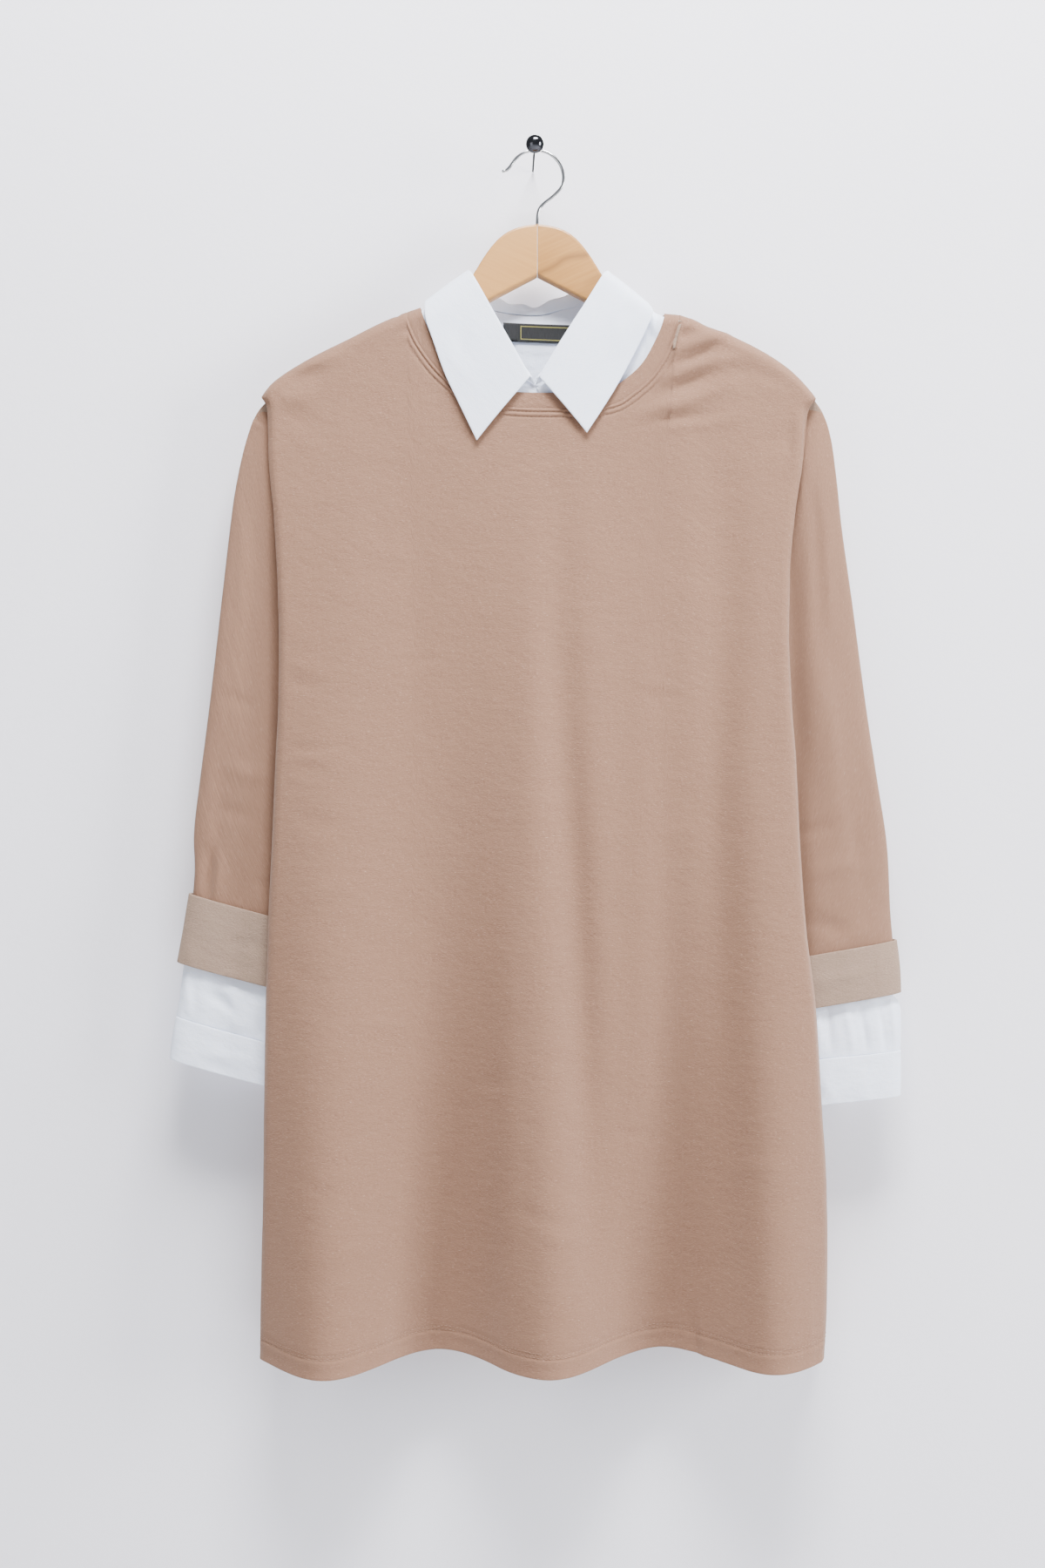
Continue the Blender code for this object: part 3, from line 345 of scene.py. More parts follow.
FLAT_SHARE = 0.62  # how square the sleeves' flattened loops are: 1 would be an ellipse
END_SHARE = 0.85  # the same for their ends
HEAD_SHARE = 0.16  # the share of a sleeve that eases from the armhole's line to its own

# The wooden hanger's top edge, by the reach from its middle, and its underside.
Edge = namedtuple("Edge", "reach height")
HANGER_TOP = (
    Edge(0, -55.5),
    Edge(12, -57.2),
    Edge(23, -61),
    Edge(33, -68.2),
    Edge(43, -80.5),
    Edge(52.8, -96.2),
    Edge(60.5, -107.5),
    Edge(75, -121.5),
    Edge(92, -134),
    Edge(110, -142.5),
    Edge(128, -149),
    Edge(155, -157),
    Edge(195, -177),
    Edge(209, -185.5),
    Edge(216, -193.5),
    Edge(217.5, -200),
)
HANGER_UNDER = -98.0  # its apex
HANGER_SLOPE = 27.6  # degrees

HANGER_EDGE = 2.2  # radius of its rounded edges
ARM_DISC = 0.1  # metres, any size: the corners of the disc are moved onto the arm's outline
HOOK_X = 2.2  # centre of the hook's round

LABEL_X = (-25.0, 32.0)
LABEL_TOP = -134.0
LABEL_TALL = 15.5
LABEL_SLOPE = -0.04
TAB_X = (-24.0, -13.0)
INSET_LIFT = -(KNIT_WALL + 3 * SEAM_GAP)  # the shirt part lies inside the knit
LAP_EDGE = 0.485  # shares of the neckline where the shirt's right front ends, on top
LAP_UNDER = 0.53  # and where its left front ends, below
INSET_RISE_MOST = 0.4  # the highest that its wrinkles stand
INSET_BACK_REACH = 1.2  # how far its back runs on into its upper seam, in steps of its rows
INSET_BELOW = 2.2  # the shirt part starts this far below the stand
INSET_SAG = 1.8
INSET_SAG_FROM = 30.0  # it sags this much where it is at least so wide
INSET_BACK_DEEP = 34.0  # how far the shirt's back reaches below the neckline, inside


# ---- reading the tables --------------------------------------------------------------------------
PREPARED = {}


def smooth(table, key, value, at):
    """One column of a table read along another by a curve that never overshoots its rows."""
    name = (id(table), value)
    if name not in PREPARED:
        keys = [getattr(row, key) for row in table]
        values = [getattr(row, value) for row in table]
        steps = [(values[j + 1] - values[j]) / (keys[j + 1] - keys[j]) for j in range(len(keys) - 1)]
        slopes = [steps[0]]
        for before, after in zip(steps, steps[1:]):
            slopes.append(0.0 if before * after <= 0 else 2 * before * after / (before + after))
        PREPARED[name] = (keys, values, slopes + [steps[-1]])
    keys, values, slopes = PREPARED[name]
    if at <= keys[0]:
        return values[0]
    if at >= keys[-1]:
        return values[-1]
    i = bisect_right(keys, at) - 1
    width = keys[i + 1] - keys[i]
    t = (at - keys[i]) / width
    return (
        values[i] * (1 + 2 * t) * (1 - t) ** 2
        + values[i + 1] * t * t * (3 - 2 * t)
        + width * slopes[i] * t * (1 - t) ** 2
        - width * slopes[i + 1] * t * t * (1 - t)
    )


def lerp(a, b, share):
    """The number this share of the way from a to b."""
    return a + (b - a) * share


def mix(a, b, share):
    """The point this share of the way from a to b."""
    return tuple(lerp(p, q, share) for p, q in zip(a, b))


def along(points, share):
    """A point at this share of a smooth curve through points, which are tuples of any length."""
    reach = [0.0]
    for a, b in zip(points, points[1:]):
        reach.append(reach[-1] + max(math.dist(a, b), 1e-6))
    at = min(max(share, 0.0), 1.0) * reach[-1]
    i = min(bisect_right(reach, at) - 1, len(points) - 2)
    t = (at - reach[i]) / (reach[i + 1] - reach[i])
    before = points[max(i - 1, 0)]
    after = points[min(i + 2, len(points) - 1)]
    out = []
    for p0, p1, p2, p3 in zip(before, points[i], points[i + 1], after):
        near = (p2 - p0) / 2
        far = (p3 - p1) / 2
        out.append(
            p1 * (1 + 2 * t) * (1 - t) ** 2
            + p2 * t * t * (3 - 2 * t)
            + near * t * (1 - t) ** 2
            - far * t * t * (1 - t)
        )
    return tuple(out)


def ease(share):
    """The same share, starting and ending softly, and held between 0 and 1."""
    share = min(max(share, 0.0), 1.0)
    return share * share * (3 - 2 * share)


# ---- the cloth's form ----------------------------------------------------------------------------
def shoulder_height(x):
    """Height of the cloth's top line over the hanger."""
    return smooth(SHOULDER_LINE, "x", "height", x)


def flute(x, ridge_x):
    """1 on a flute's ridge, -1 in its trough."""
    return math.cos(2 * math.pi * (x - ridge_x) / WAVE_LENGTH)


def fold_depth(face, x, height):
    """How far the flutes and the inner fold carry a panel away from its mean depth."""
    if face > 0:
        return smooth(FLUTES, "height", "back", height) * flute(x, BACK_RIDGE_X)
    out = smooth(FLUTES, "height", "front", height) * flute(x, FRONT_RIDGE_X)
    middle = smooth(INNER_FOLD, "height", "x", height)
    width = smooth(INNER_FOLD, "height", "half_width", height)
    deep = smooth(INNER_FOLD, "height", "depth", height)
    return out - deep * math.exp(-(((x - middle) / width) ** 2) * FOLD_STEEPNESS)


def panel_y(face, x, height, lift=0.0):
    """Depth of the front (face -1) or back (face 1) at a place seen from in front, lifted off it by lift."""
    drop = shoulder_height(x) + lift - height
    if drop <= 0:
        return HANG_Y + face * SHOULDER_SEAM
    deep = smooth(DEPTHS, "drop", "front" if face < 0 else "back", drop - lift)
    deep += fold_depth(face, x, height) + lift
    turn = min(deep, SHOULDER_ROUND + lift)
    if drop < turn:
        deep *= math.sqrt(1 - (1 - drop / turn) ** 2)
    return HANG_Y + face * max(deep, SHOULDER_SEAM)


def on_panel(face, x, height, lift=0.0):
    """A point of a panel's outer face, or lift above it along y."""
    return (x, panel_y(face, x, height, lift), height)


def off_panel(face, x, height, lift):
    """The same, but lifted square to the cloth, which keeps the order of points over the shoulder."""
    drop = shoulder_height(x) - height
    if drop < 0.02:
        return (x, HANG_Y + face * SHOULDER_SEAM, shoulder_height(x) + lift)
    step = min(PROBE, drop / 2)
    y = panel_y(face, x, height)
    rise = (panel_y(face, x, height + step) - panel_y(face, x, height - step)) / (2 * step)
    run = (panel_y(face, x + PROBE, height) - panel_y(face, x - PROBE, height)) / (2 * PROBE)
    outward = Vector((-run, 1, -rise)).normalized() * face
    return tuple(Vector((x, y, height)) + outward * lift)


def side_rows(sign):
    """The table of one side's folds."""
    return LEFT_SIDE if sign < 0 else RIGHT_SIDE


def fold_x(sign, height, face=-1):
    """Where a panel folds back at its side, at this height."""
    x = smooth(side_rows(sign), "height", "fold", height)
    if face < 0:
        return x
    # At the right of the hem the back panel shows past the side seam.
    past = BACK_PAST * ease((BACK_PAST_FROM - height) / BACK_PAST_EASE) if sign > 0 else 0.0
    return x + sign * (past - BACK_FOLD_IN * ease((FOLD_IN_FROM - height) / FOLD_IN_EASE))


def seam_x(sign, height):
    """Where the side seam lies, tucked in behind the fold."""
    rows = side_rows(sign)
    return smooth(rows, "height", "fold", height) - sign * smooth(rows, "height", "tuck", height)


def armhole_gap(height):
    """Half of the armhole's opening: nothing at the shoulder, nor from the underarm down."""
    share = (height - UNDERARM_Z) / (ARMHOLE_TOP_Z - UNDERARM_Z)
    if share <= 0 or share >= 1:
        return 0.0
    return ARMHOLE_GAP * math.sin(math.pi * share) ** 0.5


def side_column(face, sign, height, share):
    """A point of a panel's side, from its flat part (0) round the fold and in to the side seam (1)."""
    fold = fold_x(sign, height, face)
    room = smooth(side_rows(sign), "height", "room", height)
    tuck = smooth(side_rows(sign), "height", "tuck", height)
    tuck_here = max(abs(fold - seam_x(sign, height)), 0.5)
    flat = min(FOLD_ROUND, tuck_here)
    outer = panel_y(face, fold - sign * FOLD_ROUND, height)
    inner = HANG_Y + face * (room + PLEAT_CLEAR)
    inner = outer - face * max(face * (outer - inner), FOLD_LEAST)
    end = HANG_Y + face * (armhole_gap(height) + SEAM_GAP)
    run_in = min(SEAM_TURN, 0.5 * tuck)
    points = (
        (fold - sign * FOLD_ROUND, outer),
        (fold, (outer + inner) / 2),
        (fold - sign * flat * 0.8, inner),
        (seam_x(sign, height) + sign * run_in, lerp(inner, end, 0.25)),
        (seam_x(sign, height), end),
    )
    x, y = along(points, share)
    # At the shoulder's tip the side runs straight on, down the end of the shoulder line.
    spread = 1 - ease((tip(sign)[1] - height) / TIP_EASE)
    out_x = tip(sign)[0] + sign * TIP_REACH * share
    drop_z = lerp(height, shoulder_height(out_x) - (tip(sign)[1] - height), spread)
    straight_y = panel_y(face, out_x, drop_z)
    return (lerp(x, out_x, spread), lerp(y, straight_y, spread), drop_z)


def tip(sign):
    """Where the shoulder line meets the side fold."""
    return (TIP_X[sign], shoulder_height(TIP_X[sign]))


def hem_height(x):
    """Height of the hem, which dips where a flute comes forward."""
    return smooth(HEM_LINE, "x", "height", x) - HEM_DIP * (flute(x, FRONT_RIDGE_X) - 0.2)


def top_edge(face, share):
    """The upper edge of a panel: shoulder line, neckline, shoulder line."""
    neckline = FRONT_NECKLINE if face < 0 else BACK_NECKLINE
    if share < NECK_FROM:
        x = lerp(tip(-1)[0], neckline[0].x, share / NECK_FROM)
        return (x, shoulder_height(x))
    if share > NECK_TO:
        x = lerp(neckline[-1].x, tip(1)[0], (share - NECK_TO) / (1 - NECK_TO))
        return (x, shoulder_height(x))
    return along(neckline, (share - NECK_FROM) / (NECK_TO - NECK_FROM))


def side_height(sign, down):
    """Height of a panel's side this share of the way down it."""
    return lerp(tip(sign)[1], hem_height(fold_x(sign, HEM_Z)), down)


def flat_side(face, sign, height):
    """Where a panel's flat part ends at its side."""
    spread = 1 - ease((tip(sign)[1] - height) / TIP_EASE)
    return (lerp(fold_x(sign, height, face) - sign * FOLD_ROUND, tip(sign)[0], spread), height)


def flat_row(face, shares, down):
    """A line across a panel between its side folds, blended from its four edges."""
    left, right = (flat_side(face, sign, side_height(sign, down)) for sign in (-1, 1))
    hem_ends = [flat_side(face, sign, HEM_Z)[0] for sign in (-1, 1)]
    hem_ends = [(x, hem_height(x)) for x in hem_ends]
    row = []
    for share in shares:
        hem_x = lerp(hem_ends[0][0], hem_ends[1][0], share)
        edge = mix(top_edge(face, share), (hem_x, hem_height(hem_x)), down)
        across = mix(left, right, share)
        corners = mix(mix(tip(-1), tip(1), share), mix(*hem_ends, share), down)
        x, z = (e + a - c for e, a, c in zip(edge, across, corners))
        row.append(on_panel(face, x, z))
    return row


def panel_shares(shoulder_steps, neck_shares):
    """Shares across a panel: evenly along the shoulders, and as given along the neckline."""
    shoulder = [i / shoulder_steps for i in range(shoulder_steps + 1)]
    shares = [NECK_FROM * share for share in shoulder]
    shares += [lerp(NECK_FROM, NECK_TO, share) for share in neck_shares[1:-1]]
    return shares + [lerp(NECK_TO, 1, share) for share in shoulder]


def panel_grid(face, downs, shares, side_steps):
    """A panel's points, row by row from the top: left side, flat part, right side."""
    in_shares = [i / side_steps for i in range(1, side_steps + 1)]
    grid = []
    for down in downs:
        line = [side_column(face, -1, side_height(-1, down), share) for share in reversed(in_shares)]
        line += flat_row(face, shares, down)
        line += [side_column(face, 1, side_height(1, down), share) for share in in_shares]
        grid.append(line)
    return grid


def rings_at(rings, share):
    """The outer and inner points and the half depth at this share of the way down a sleeve."""
    rows = [ring.outer + ring.inner + (ring.half_depth,) for ring in rings]
    x0, z0, x1, z1, deep = along(rows, share)
    return (x0, z0), (x1, z1), deep


def loop_point(rings, share, turn, pleats=0.0):
    """A point round a flattened loop: turn 0 at its outer end, 0.25 in front, 0.5 at its inner end."""
    outer, inner, deep = rings_at(rings, share)
    angle = 2 * math.pi * turn
    width = math.dist(outer, inner) / 2
    cos, sin = math.cos(angle), math.sin(angle)
    out = math.copysign(abs(cos) ** END_SHARE, cos)
    front = math.copysign(abs(sin) ** FLAT_SHARE, sin)
    shrink = pleats * (0.5 - 0.5 * math.cos(angle * PLEATS))
    middle = mix(outer, inner, 0.5)
    reach = out * (1 - shrink / width)
    return (
        lerp(middle[0], outer[0], reach),
        HANG_Y - front * (deep - shrink),
        lerp(middle[1], outer[1], reach),
    )


def armhole_point(sign, turn):
    """A point round the armhole, level with the first ring of the sleeve that is set in there."""
    rings = LEFT_SLEEVE if sign < 0 else RIGHT_SLEEVE
    straight = loop_point(rings, 0, turn)
    height = straight[2]
    side = [side_column(-1, sign, height, 1.0), side_column(1, sign, height, 1.0)]
    front = math.copysign(1, math.sin(2 * math.pi * turn))
    y = HANG_Y - front * max(armhole_gap(height) - SEAM_GAP, 0.2) * abs(math.sin(2 * math.pi * turn)) ** 0.4
    return (side[0][0], y, height)


def sleeve_grid(sign, down_steps, around):
    """A sleeve's points, ring by ring; the first rings ease from the armhole's own line to the table's."""
    rings = LEFT_SLEEVE if sign < 0 else RIGHT_SLEEVE
    grid = []
    for i in range(down_steps + 1):
        share = (i / down_steps) ** 1.25
        keep = max(0.0, 1 - share / HEAD_SHARE) ** 1.5
        line = []
        for j in range(around):
            turn = j / around
            x, y, z = loop_point(rings, share, turn)
            if keep:
                hole = armhole_point(sign, turn)
                first = loop_point(rings, 0, turn)
                x += keep * (hole[0] - first[0])
                y += keep * (hole[1] - first[1])
            line.append((x, y, z))
        grid.append(line)
    return grid


def loop_grid(rings, down_steps, around, pleats=0.0):
    """A tube's outer face, in rows from its top ring down."""
    return [
        [loop_point(rings, i / down_steps, j / around, pleats) for j in range(around)]
        for i in range(down_steps + 1)
    ]


def neckline_side(face, share):
    """A point of the neckline and the direction from it into the neck opening, as seen from in front."""
    line = FRONT_NECKLINE if face < 0 else BACK_NECKLINE
    x, z = along(line, share)
    ahead, behind = along(line, min(share + 0.01, 1)), along(line, max(share - 0.01, 0))
    run_x, run_z = ahead[0] - behind[0], ahead[1] - behind[1]
    length = math.hypot(run_x, run_z)
    into = (-run_z / length, run_x / length)
    # At the shoulders it turns to run along the shoulder line.
    left, right = share < 0.5, share >= 0.5
    inner = x + 10 * (left - right)
    slope = (inner - x, shoulder_height(inner) - shoulder_height(x))
    size = math.hypot(*slope)
    keep = ease(min(share, 1 - share) / 0.1)
    into = (lerp(slope[0] / size, into[0], keep), lerp(slope[1] / size, into[1], keep))
    size = math.hypot(*into)
    return (x, z), (into[0] / size, into[1] / size)


def near_neckline(face, share, into_neck, lift):
    """A point of the cloth this far inside the neckline, or below it where into_neck is negative."""
    (x, z), into = neckline_side(face, share)
    x += into[0] * into_neck
    z += into[1] * into_neck
    if share in (0.0, 1.0):
        return (x, HANG_Y, shoulder_height(x) + lift)
    return off_panel(face, x, z, lift)


def close_to_ends(count):
    """Shares from 0 to 1 that lie closer together at both ends, where the cloth turns over the hanger."""
    return [0.5 - 0.5 * math.cos(math.pi * i / count) for i in range(count + 1)]


def band_seam(share):
    """Width of the neckband's seam: a little more where it turns over the hanger."""
    return NECK_SEAM + 0.9 * (1 - ease(min(share, 1 - share) / 0.1))


def neckband_grid(steps, along_front, along_back):
    """The neckband's outer face, in rows from its seam inwards, once round the neck."""
    around = [(-1, share) for share in close_to_ends(along_front)]
    around += [(1, share) for share in reversed(close_to_ends(along_back)[1:-1])]
    rows = []
    for i in range(steps + 1):
        off = [lerp(band_seam(share), BAND_WIDTH, i / steps) for _, share in around]
        rows.append([near_neckline(*place, inward, 0) for place, inward in zip(around, off)])
    return rows


def toward_neck(point, distance):
    """The point moved in plan towards the middle of the neck."""
    run = (HANGER_X - point[0], HANG_Y - point[1])
    size = math.hypot(*run)
    return (point[0] + run[0] / size * distance, point[1] + run[1] / size * distance, point[2])


def leaf_edge(station):
    """Where the collar's outer edge rests at one of its stations."""
    if station.face == 0:
        return (station.edge_x, HANG_Y, shoulder_height(station.edge_x) + station.lift)
    return on_panel(station.face, station.edge_x, station.edge_height, station.lift)


def leaf_grid(stations, steps):
    """The collar's leaf, in rows from its fold to its outer edge."""
    folds = [station.fold for station in COLLAR]
    edges = [leaf_edge(station) for station in COLLAR]
    grid = []
    for i in range(steps + 1):
        line = []
        for j in range(stations + 1):
            fold, edge = along_rows(folds, j / stations), along_rows(edges, j / stations)
            point = mix(fold, edge, i / steps)
            line.append(toward_neck(point, -LEAF_SWELL * math.sin(math.pi * i / steps)))
        grid.append(line)
    return grid


def along_rows(points, share):
    """A point of a smooth curve through points, which lie at even shares of it."""
    at = min(max(share, 0.0), 1.0) * (len(points) - 1)
    i = min(int(at), len(points) - 2)
    t = at - i
    quad = (points[max(i - 1, 0)], points[i], points[i + 1], points[min(i + 2, len(points) - 1)])
    return tuple(
        p1 * (1 + 2 * t) * (1 - t) ** 2
        + p2 * t * t * (3 - 2 * t)
        + (p2 - p0) / 2 * t * (1 - t) ** 2
        - (p3 - p1) / 2 * t * t * (1 - t)
        for p0, p1, p2, p3 in zip(*quad)
    )


def stand_top(share):
    """The stand's upper edge, under the fold of the leaf."""
    folds = [station.fold for station in COLLAR]
    fold = Vector(along_rows(folds, share))
    run = Vector(along_rows(folds, share + 0.01)) - Vector(along_rows(folds, share - 0.01))
    across = Vector(along_rows([leaf_edge(station) for station in COLLAR], share)) - fold
    outward = run.cross(across).normalized()
    return tuple(fold.lerp(Vector(stand_foot(share)), 0.1) - outward * STAND_INSIDE)


def stand_foot(share):
    """The lower edge of the collar's stand."""
    return along_rows([station.stand for station in COLLAR], share)


def stand_grid(stations, steps):
    """The collar's stand, in rows from its top to its foot."""
    return [
        [mix(stand_top(j / stations), stand_foot(j / stations), i / steps) for j in range(stations + 1)]
        for i in range(steps + 1)
    ]


def inset_grid(face, feet, line_shares, steps, lap=0.0, low=None):
    """The shirt part from the foot of the stand, under the neckband, to its own lower edge.

    feet are the shares of the stand's foot where it starts and ends, line_shares its columns along the
    neckline, steps how many rows each of its stretches has, lap how much further in its start lies, under
    the other front, and low how far below the neckline it reaches at a share of the way across.
    """
    columns = []
    for line_share in line_shares:
        across = (line_share - line_shares[0]) / (line_shares[-1] - line_shares[0])
        lapped = lap * (1 - ease(2.5 * across))
        lift = INSET_LIFT - lapped
        x, y, z = stand_foot(lerp(*feet, across))
        foot = (x, y - face * lapped, z)
        under_band = near_neckline(face, line_share, BAND_WIDTH + 1.0, lift)
        foot = mix(foot, under_band, INSET_BELOW / math.dist(foot, under_band))
        sag = INSET_SAG * ease(math.dist(foot, under_band) / INSET_SAG_FROM)
        column = []
        for i in range(steps + 1):
            x, y, z = mix(foot, under_band, i / steps)
            column.append((x, y, z - sag * math.sin(math.pi * i / steps)))
        seam = band_seam(line_share)
        for i in range(1, steps // 2 + 1):
            into = lerp(BAND_WIDTH + 1.0, seam, i / (steps // 2))
            column.append(near_neckline(face, line_share, into, lift))
        if low:
            x, _, z = near_neckline(face, line_share, seam, 0)
            deep = low(across)
            column += [off_panel(face, x, z - deep * i / steps, lift) for i in range(1, steps + 1)]
        # Over the hanger the front's and the back's columns keep clear of each other, and in order.
        least = SHOULDER_SEAM + SEAM_GAP + 40 * min(line_share, 1 - line_share, 0.1)
        columns.append([(x, HANG_Y + face * max(face * (y - HANG_Y), least), z) for x, y, z in column])
    return [list(line) for line in zip(*columns)]


def half_moon(across):
    """How far the back inset reaches below the neckline, across the neck."""
    return 1.0 + INSET_BACK_DEEP * math.sin(math.pi * across) ** 1.5


def patch_grid(face, xs, top, tall, lift, columns, rows, slope=0.0):
    """A rectangle of cloth laid on a panel."""
    grid = []
    for i in range(rows + 1):
        line = []
        for j in range(columns + 1):
            x = lerp(*xs, j / columns)
            z = top - tall * i / rows + slope * (x - xs[0])
            line.append(on_panel(face, x, z, lift))
        grid.append(line)
    return grid


# ---- creases, seams and stitching ----------------------------------------------------------------
# A soft ridge (rise above 0) or trough (below 0) on a sheet, from start to end as seen from in front,
# bowed sideways, fading out at both its ends.
Wrinkle = namedtuple("Wrinkle", "start end bow width rise")

FRONT_WRINKLES = (
    # from the neckline out over the right shoulder
    Wrinkle((70, -219), (172, -184), -5, 6.0, 3.0),
    Wrinkle((92, -200), (156, -173), -3, 4.6, -3.0),
    Wrinkle((98, -190), (178, -166), 3, 5.0, 2.8),
    Wrinkle((102, -178), (160, -152), -2, 4.2, -2.8),
    Wrinkle((106, -168), (172, -145), 2, 4.4, 2.4),
    Wrinkle((108, -157), (150, -138), 0, 3.6, -2.0),
    Wrinkle((78, -222), (160, -217), 2, 3.2, -1.9),
    Wrinkle((84, -227), (196, -214), -2, 3.6, 1.3),
    Wrinkle((150, -176), (206, -196), 5, 7, -1.2),
    # the right shoulder's tip
    Wrinkle((226, -204), (222, -262), 2, 3.4, -1.5),
    Wrinkle((219, -206), (216, -268), 1, 4.2, 1.2),
    Wrinkle((211, -212), (210, -256), 0, 3.4, -0.8),
    Wrinkle((205, -196), (178, -178), 3, 4.5, 0.9),
    Wrinkle((212, -232), (186, -244), -2, 3.6, -0.7),
    # the left shoulder's tip
    Wrinkle((-212, -189), (-166, -182), 3, 5.5, -1.7),
    Wrinkle((-216, -200), (-176, -197), -3, 5.5, 1.7),
    Wrinkle((-210, -214), (-178, -224), 2, 5, -0.9),
    Wrinkle((-196, -178), (-150, -166), 2, 4.5, 0.9),
    Wrinkle((-205, -232), (-170, -240), -2, 4.5, 0.7),
    # where the left arm has pulled
    Wrinkle((-205, -424), (-172, -428), 2, 4.2, 1.3),
    Wrinkle((-206, -434), (-166, -440), -3, 4.6, -0.9),
    Wrinkle((-203, -486), (-160, -494), -3, 3.4, -1.4),
    Wrinkle((-202, -497), (-152, -500), 2, 4.0, 1.1),
    Wrinkle((-200, -508), (-166, -511), 2, 3.0, -1.1),
    Wrinkle((-204, -540), (-150, -556), -4, 5.5, -0.8),
    Wrinkle((-198, -620), (-140, -604), 5, 6.5, 0.8),
    Wrinkle((-204, -668), (-158, -682), -3, 5.0, -0.7),
    # short ones across the body
    Wrinkle((72, -434), (128, -442), -2, 1.8, 0.9),
    Wrinkle((74, -440), (122, -447), -2, 2.4, -0.6),
    Wrinkle((-34, -258), (22, -250), -5, 2.2, -0.8),
    Wrinkle((-22, -264), (34, -262), 4, 2.6, 0.7),
    Wrinkle((28, -372), (76, -366), 2, 2.6, -0.5),
    Wrinkle((-140, -330), (-96, -336), 2, 3.4, 0.5),
    Wrinkle((-120, -420), (-66, -414), -2, 3.0, -0.5),
    Wrinkle((-10, -520), (44, -530), 3, 3.4, -0.5),
    Wrinkle((96, -560), (150, -552), -3, 3.6, 0.6),
    Wrinkle((-150, -716), (-96, -724), 3, 4.2, 0.6),
    Wrinkle((-60, -770), (-8, -764), 2, 3.4, -0.6),
    Wrinkle((60, -800), (118, -812), -3, 4.0, -0.6),
    Wrinkle((150, -838), (206, -826), 3, 4.0, 0.6),
    Wrinkle((-30, -864), (34, -882), 4, 3.6, -0.7),
    Wrinkle((-6, -884), (54, -896), 3, 4.2, 0.7),
    Wrinkle((-196, -842), (-140, -850), -3, 4.4, -0.6),
    Wrinkle((-176, -906), (-120, -898), 3, 4.2, 0.6),
    # along the hem
    Wrinkle((128, -944), (136, -1002), 0, 3.2, -1.7),
    Wrinkle((134, -950), (144, -1006), 0, 3.0, 1.2),
    Wrinkle((-118, -930), (-132, -1004), 3, 7, 1.0),
    Wrinkle((-86, -938), (-76, -1004), -2, 5, -0.9),
    Wrinkle((222, -930), (226, -1000), 0, 4, 0.9),
    # the long soft trough at the right, under the collar's end of the shoulder
    Wrinkle((160, -214), (158, -520), 4, 17, -2.6),
    # long folds that hang down to the hem
    Wrinkle((14, -330), (50, -985), 5, 14, -5.5),
    Wrinkle((92, -300), (84, -1150), 0, 16, 3.4),
    Wrinkle((148, -150), (168, -1150), -4, 17, -5.0),
    Wrinkle((-20, -560), (-20, -1150), 0, 12, 2.2),
    Wrinkle((-150, -196), (-146, -470), -4, 26, 1.4),
    Wrinkle((-96, -250), (-104, -520), 3, 16, -1.0),
    Wrinkle((206, -280), (207, -560), 0, 9, 1.0),
    Wrinkle((1, -300), (0, -640), 0, 13, 0.9),
)
BACK_WRINKLES = (
    Wrinkle((-110, -152), (-158, -176), 4, 7, -1.6),
    Wrinkle((-104, -160), (-150, -192), 5, 6, 1.4),
    Wrinkle((112, -150), (160, -172), -4, 7, 1.6),
    Wrinkle((106, -164), (168, -196), -6, 6.5, -1.4),
    Wrinkle((-216, -206), (-178, -214), 3, 6, 1.5),
    Wrinkle((-212, -222), (-170, -236), -4, 6, -1.2),
    Wrinkle((222, -208), (184, -218), -3, 6, -1.5),
    Wrinkle((218, -228), (176, -246), 5, 7, 1.2),
    Wrinkle((-168, -240), (-160, -560), 7, 20, -2.6),
    Wrinkle((-60, -230), (-72, -640), -8, 24, 2.4),
    Wrinkle((34, -220), (28, -700), 6, 22, -2.8),
    Wrinkle((120, -250), (132, -620), -6, 22, 2.6),
    Wrinkle((186, -300), (178, -760), 4, 15, -2.0),
    Wrinkle((-120, -560), (-130, -980), 5, 20, 2.0),
    Wrinkle((-30, -620), (-24, -990), -5, 20, -2.0),
    Wrinkle((-204, -452), (-158, -462), -3, 5, -1.1),
    Wrinkle((-200, -470), (-150, -474), 3, 5, 1.0),
    Wrinkle((204, -500), (156, -512), 3, 5, 1.1),
    Wrinkle((198, -520), (150, -524), -3, 4, -1.0),
    Wrinkle((-90, -360), (-30, -372), 3, 4, -0.7),
    Wrinkle((40, -430), (104, -420), -3, 4, 0.7),
    Wrinkle((-20, -760), (46, -772), 3, 5, -0.8),
    Wrinkle((90, -880), (160, -868), -3, 5, 0.8),
)
LEFT_SLEEVE_WRINKLES = (
    Wrinkle((-214, -150), (-205, -800), 0, 9, -7),
    Wrinkle((-237, -211), (-219, -225), 0, 1.2, -1.3),
    Wrinkle((-236, -215), (-220, -229), 0, 1.6, 0.9),
    Wrinkle((-216, -240), (-214, -330), 0, 5, 1.5),
    Wrinkle((-244, -272), (-240, -420), 3, 7, 1.1),
    Wrinkle((-230, -300), (-236, -470), -3, 6, -1.2),
    Wrinkle((-262, -446), (-226, -462), 3, 5, -1.0),
    Wrinkle((-262, -498), (-216, -516), -4, 6, 1.1),
    Wrinkle((-270, -540), (-226, -552), 3, 5.5, -1.0),
    Wrinkle((-236, -470), (-246, -612), 4, 9, 1.8),
    Wrinkle((-256, -480), (-264, -616), 0, 6, -1.2),
    Wrinkle((-266, -566), (-270, -622), 0, 3.6, -2.8),
    Wrinkle((-258, -572), (-262, -626), 0, 4.4, 2.2),
    Wrinkle((-276, -574), (-279, -618), 0, 3.4, 1.5),
    Wrinkle((-236, -600), (-200, -614), 2, 4.4, -1.1),
)
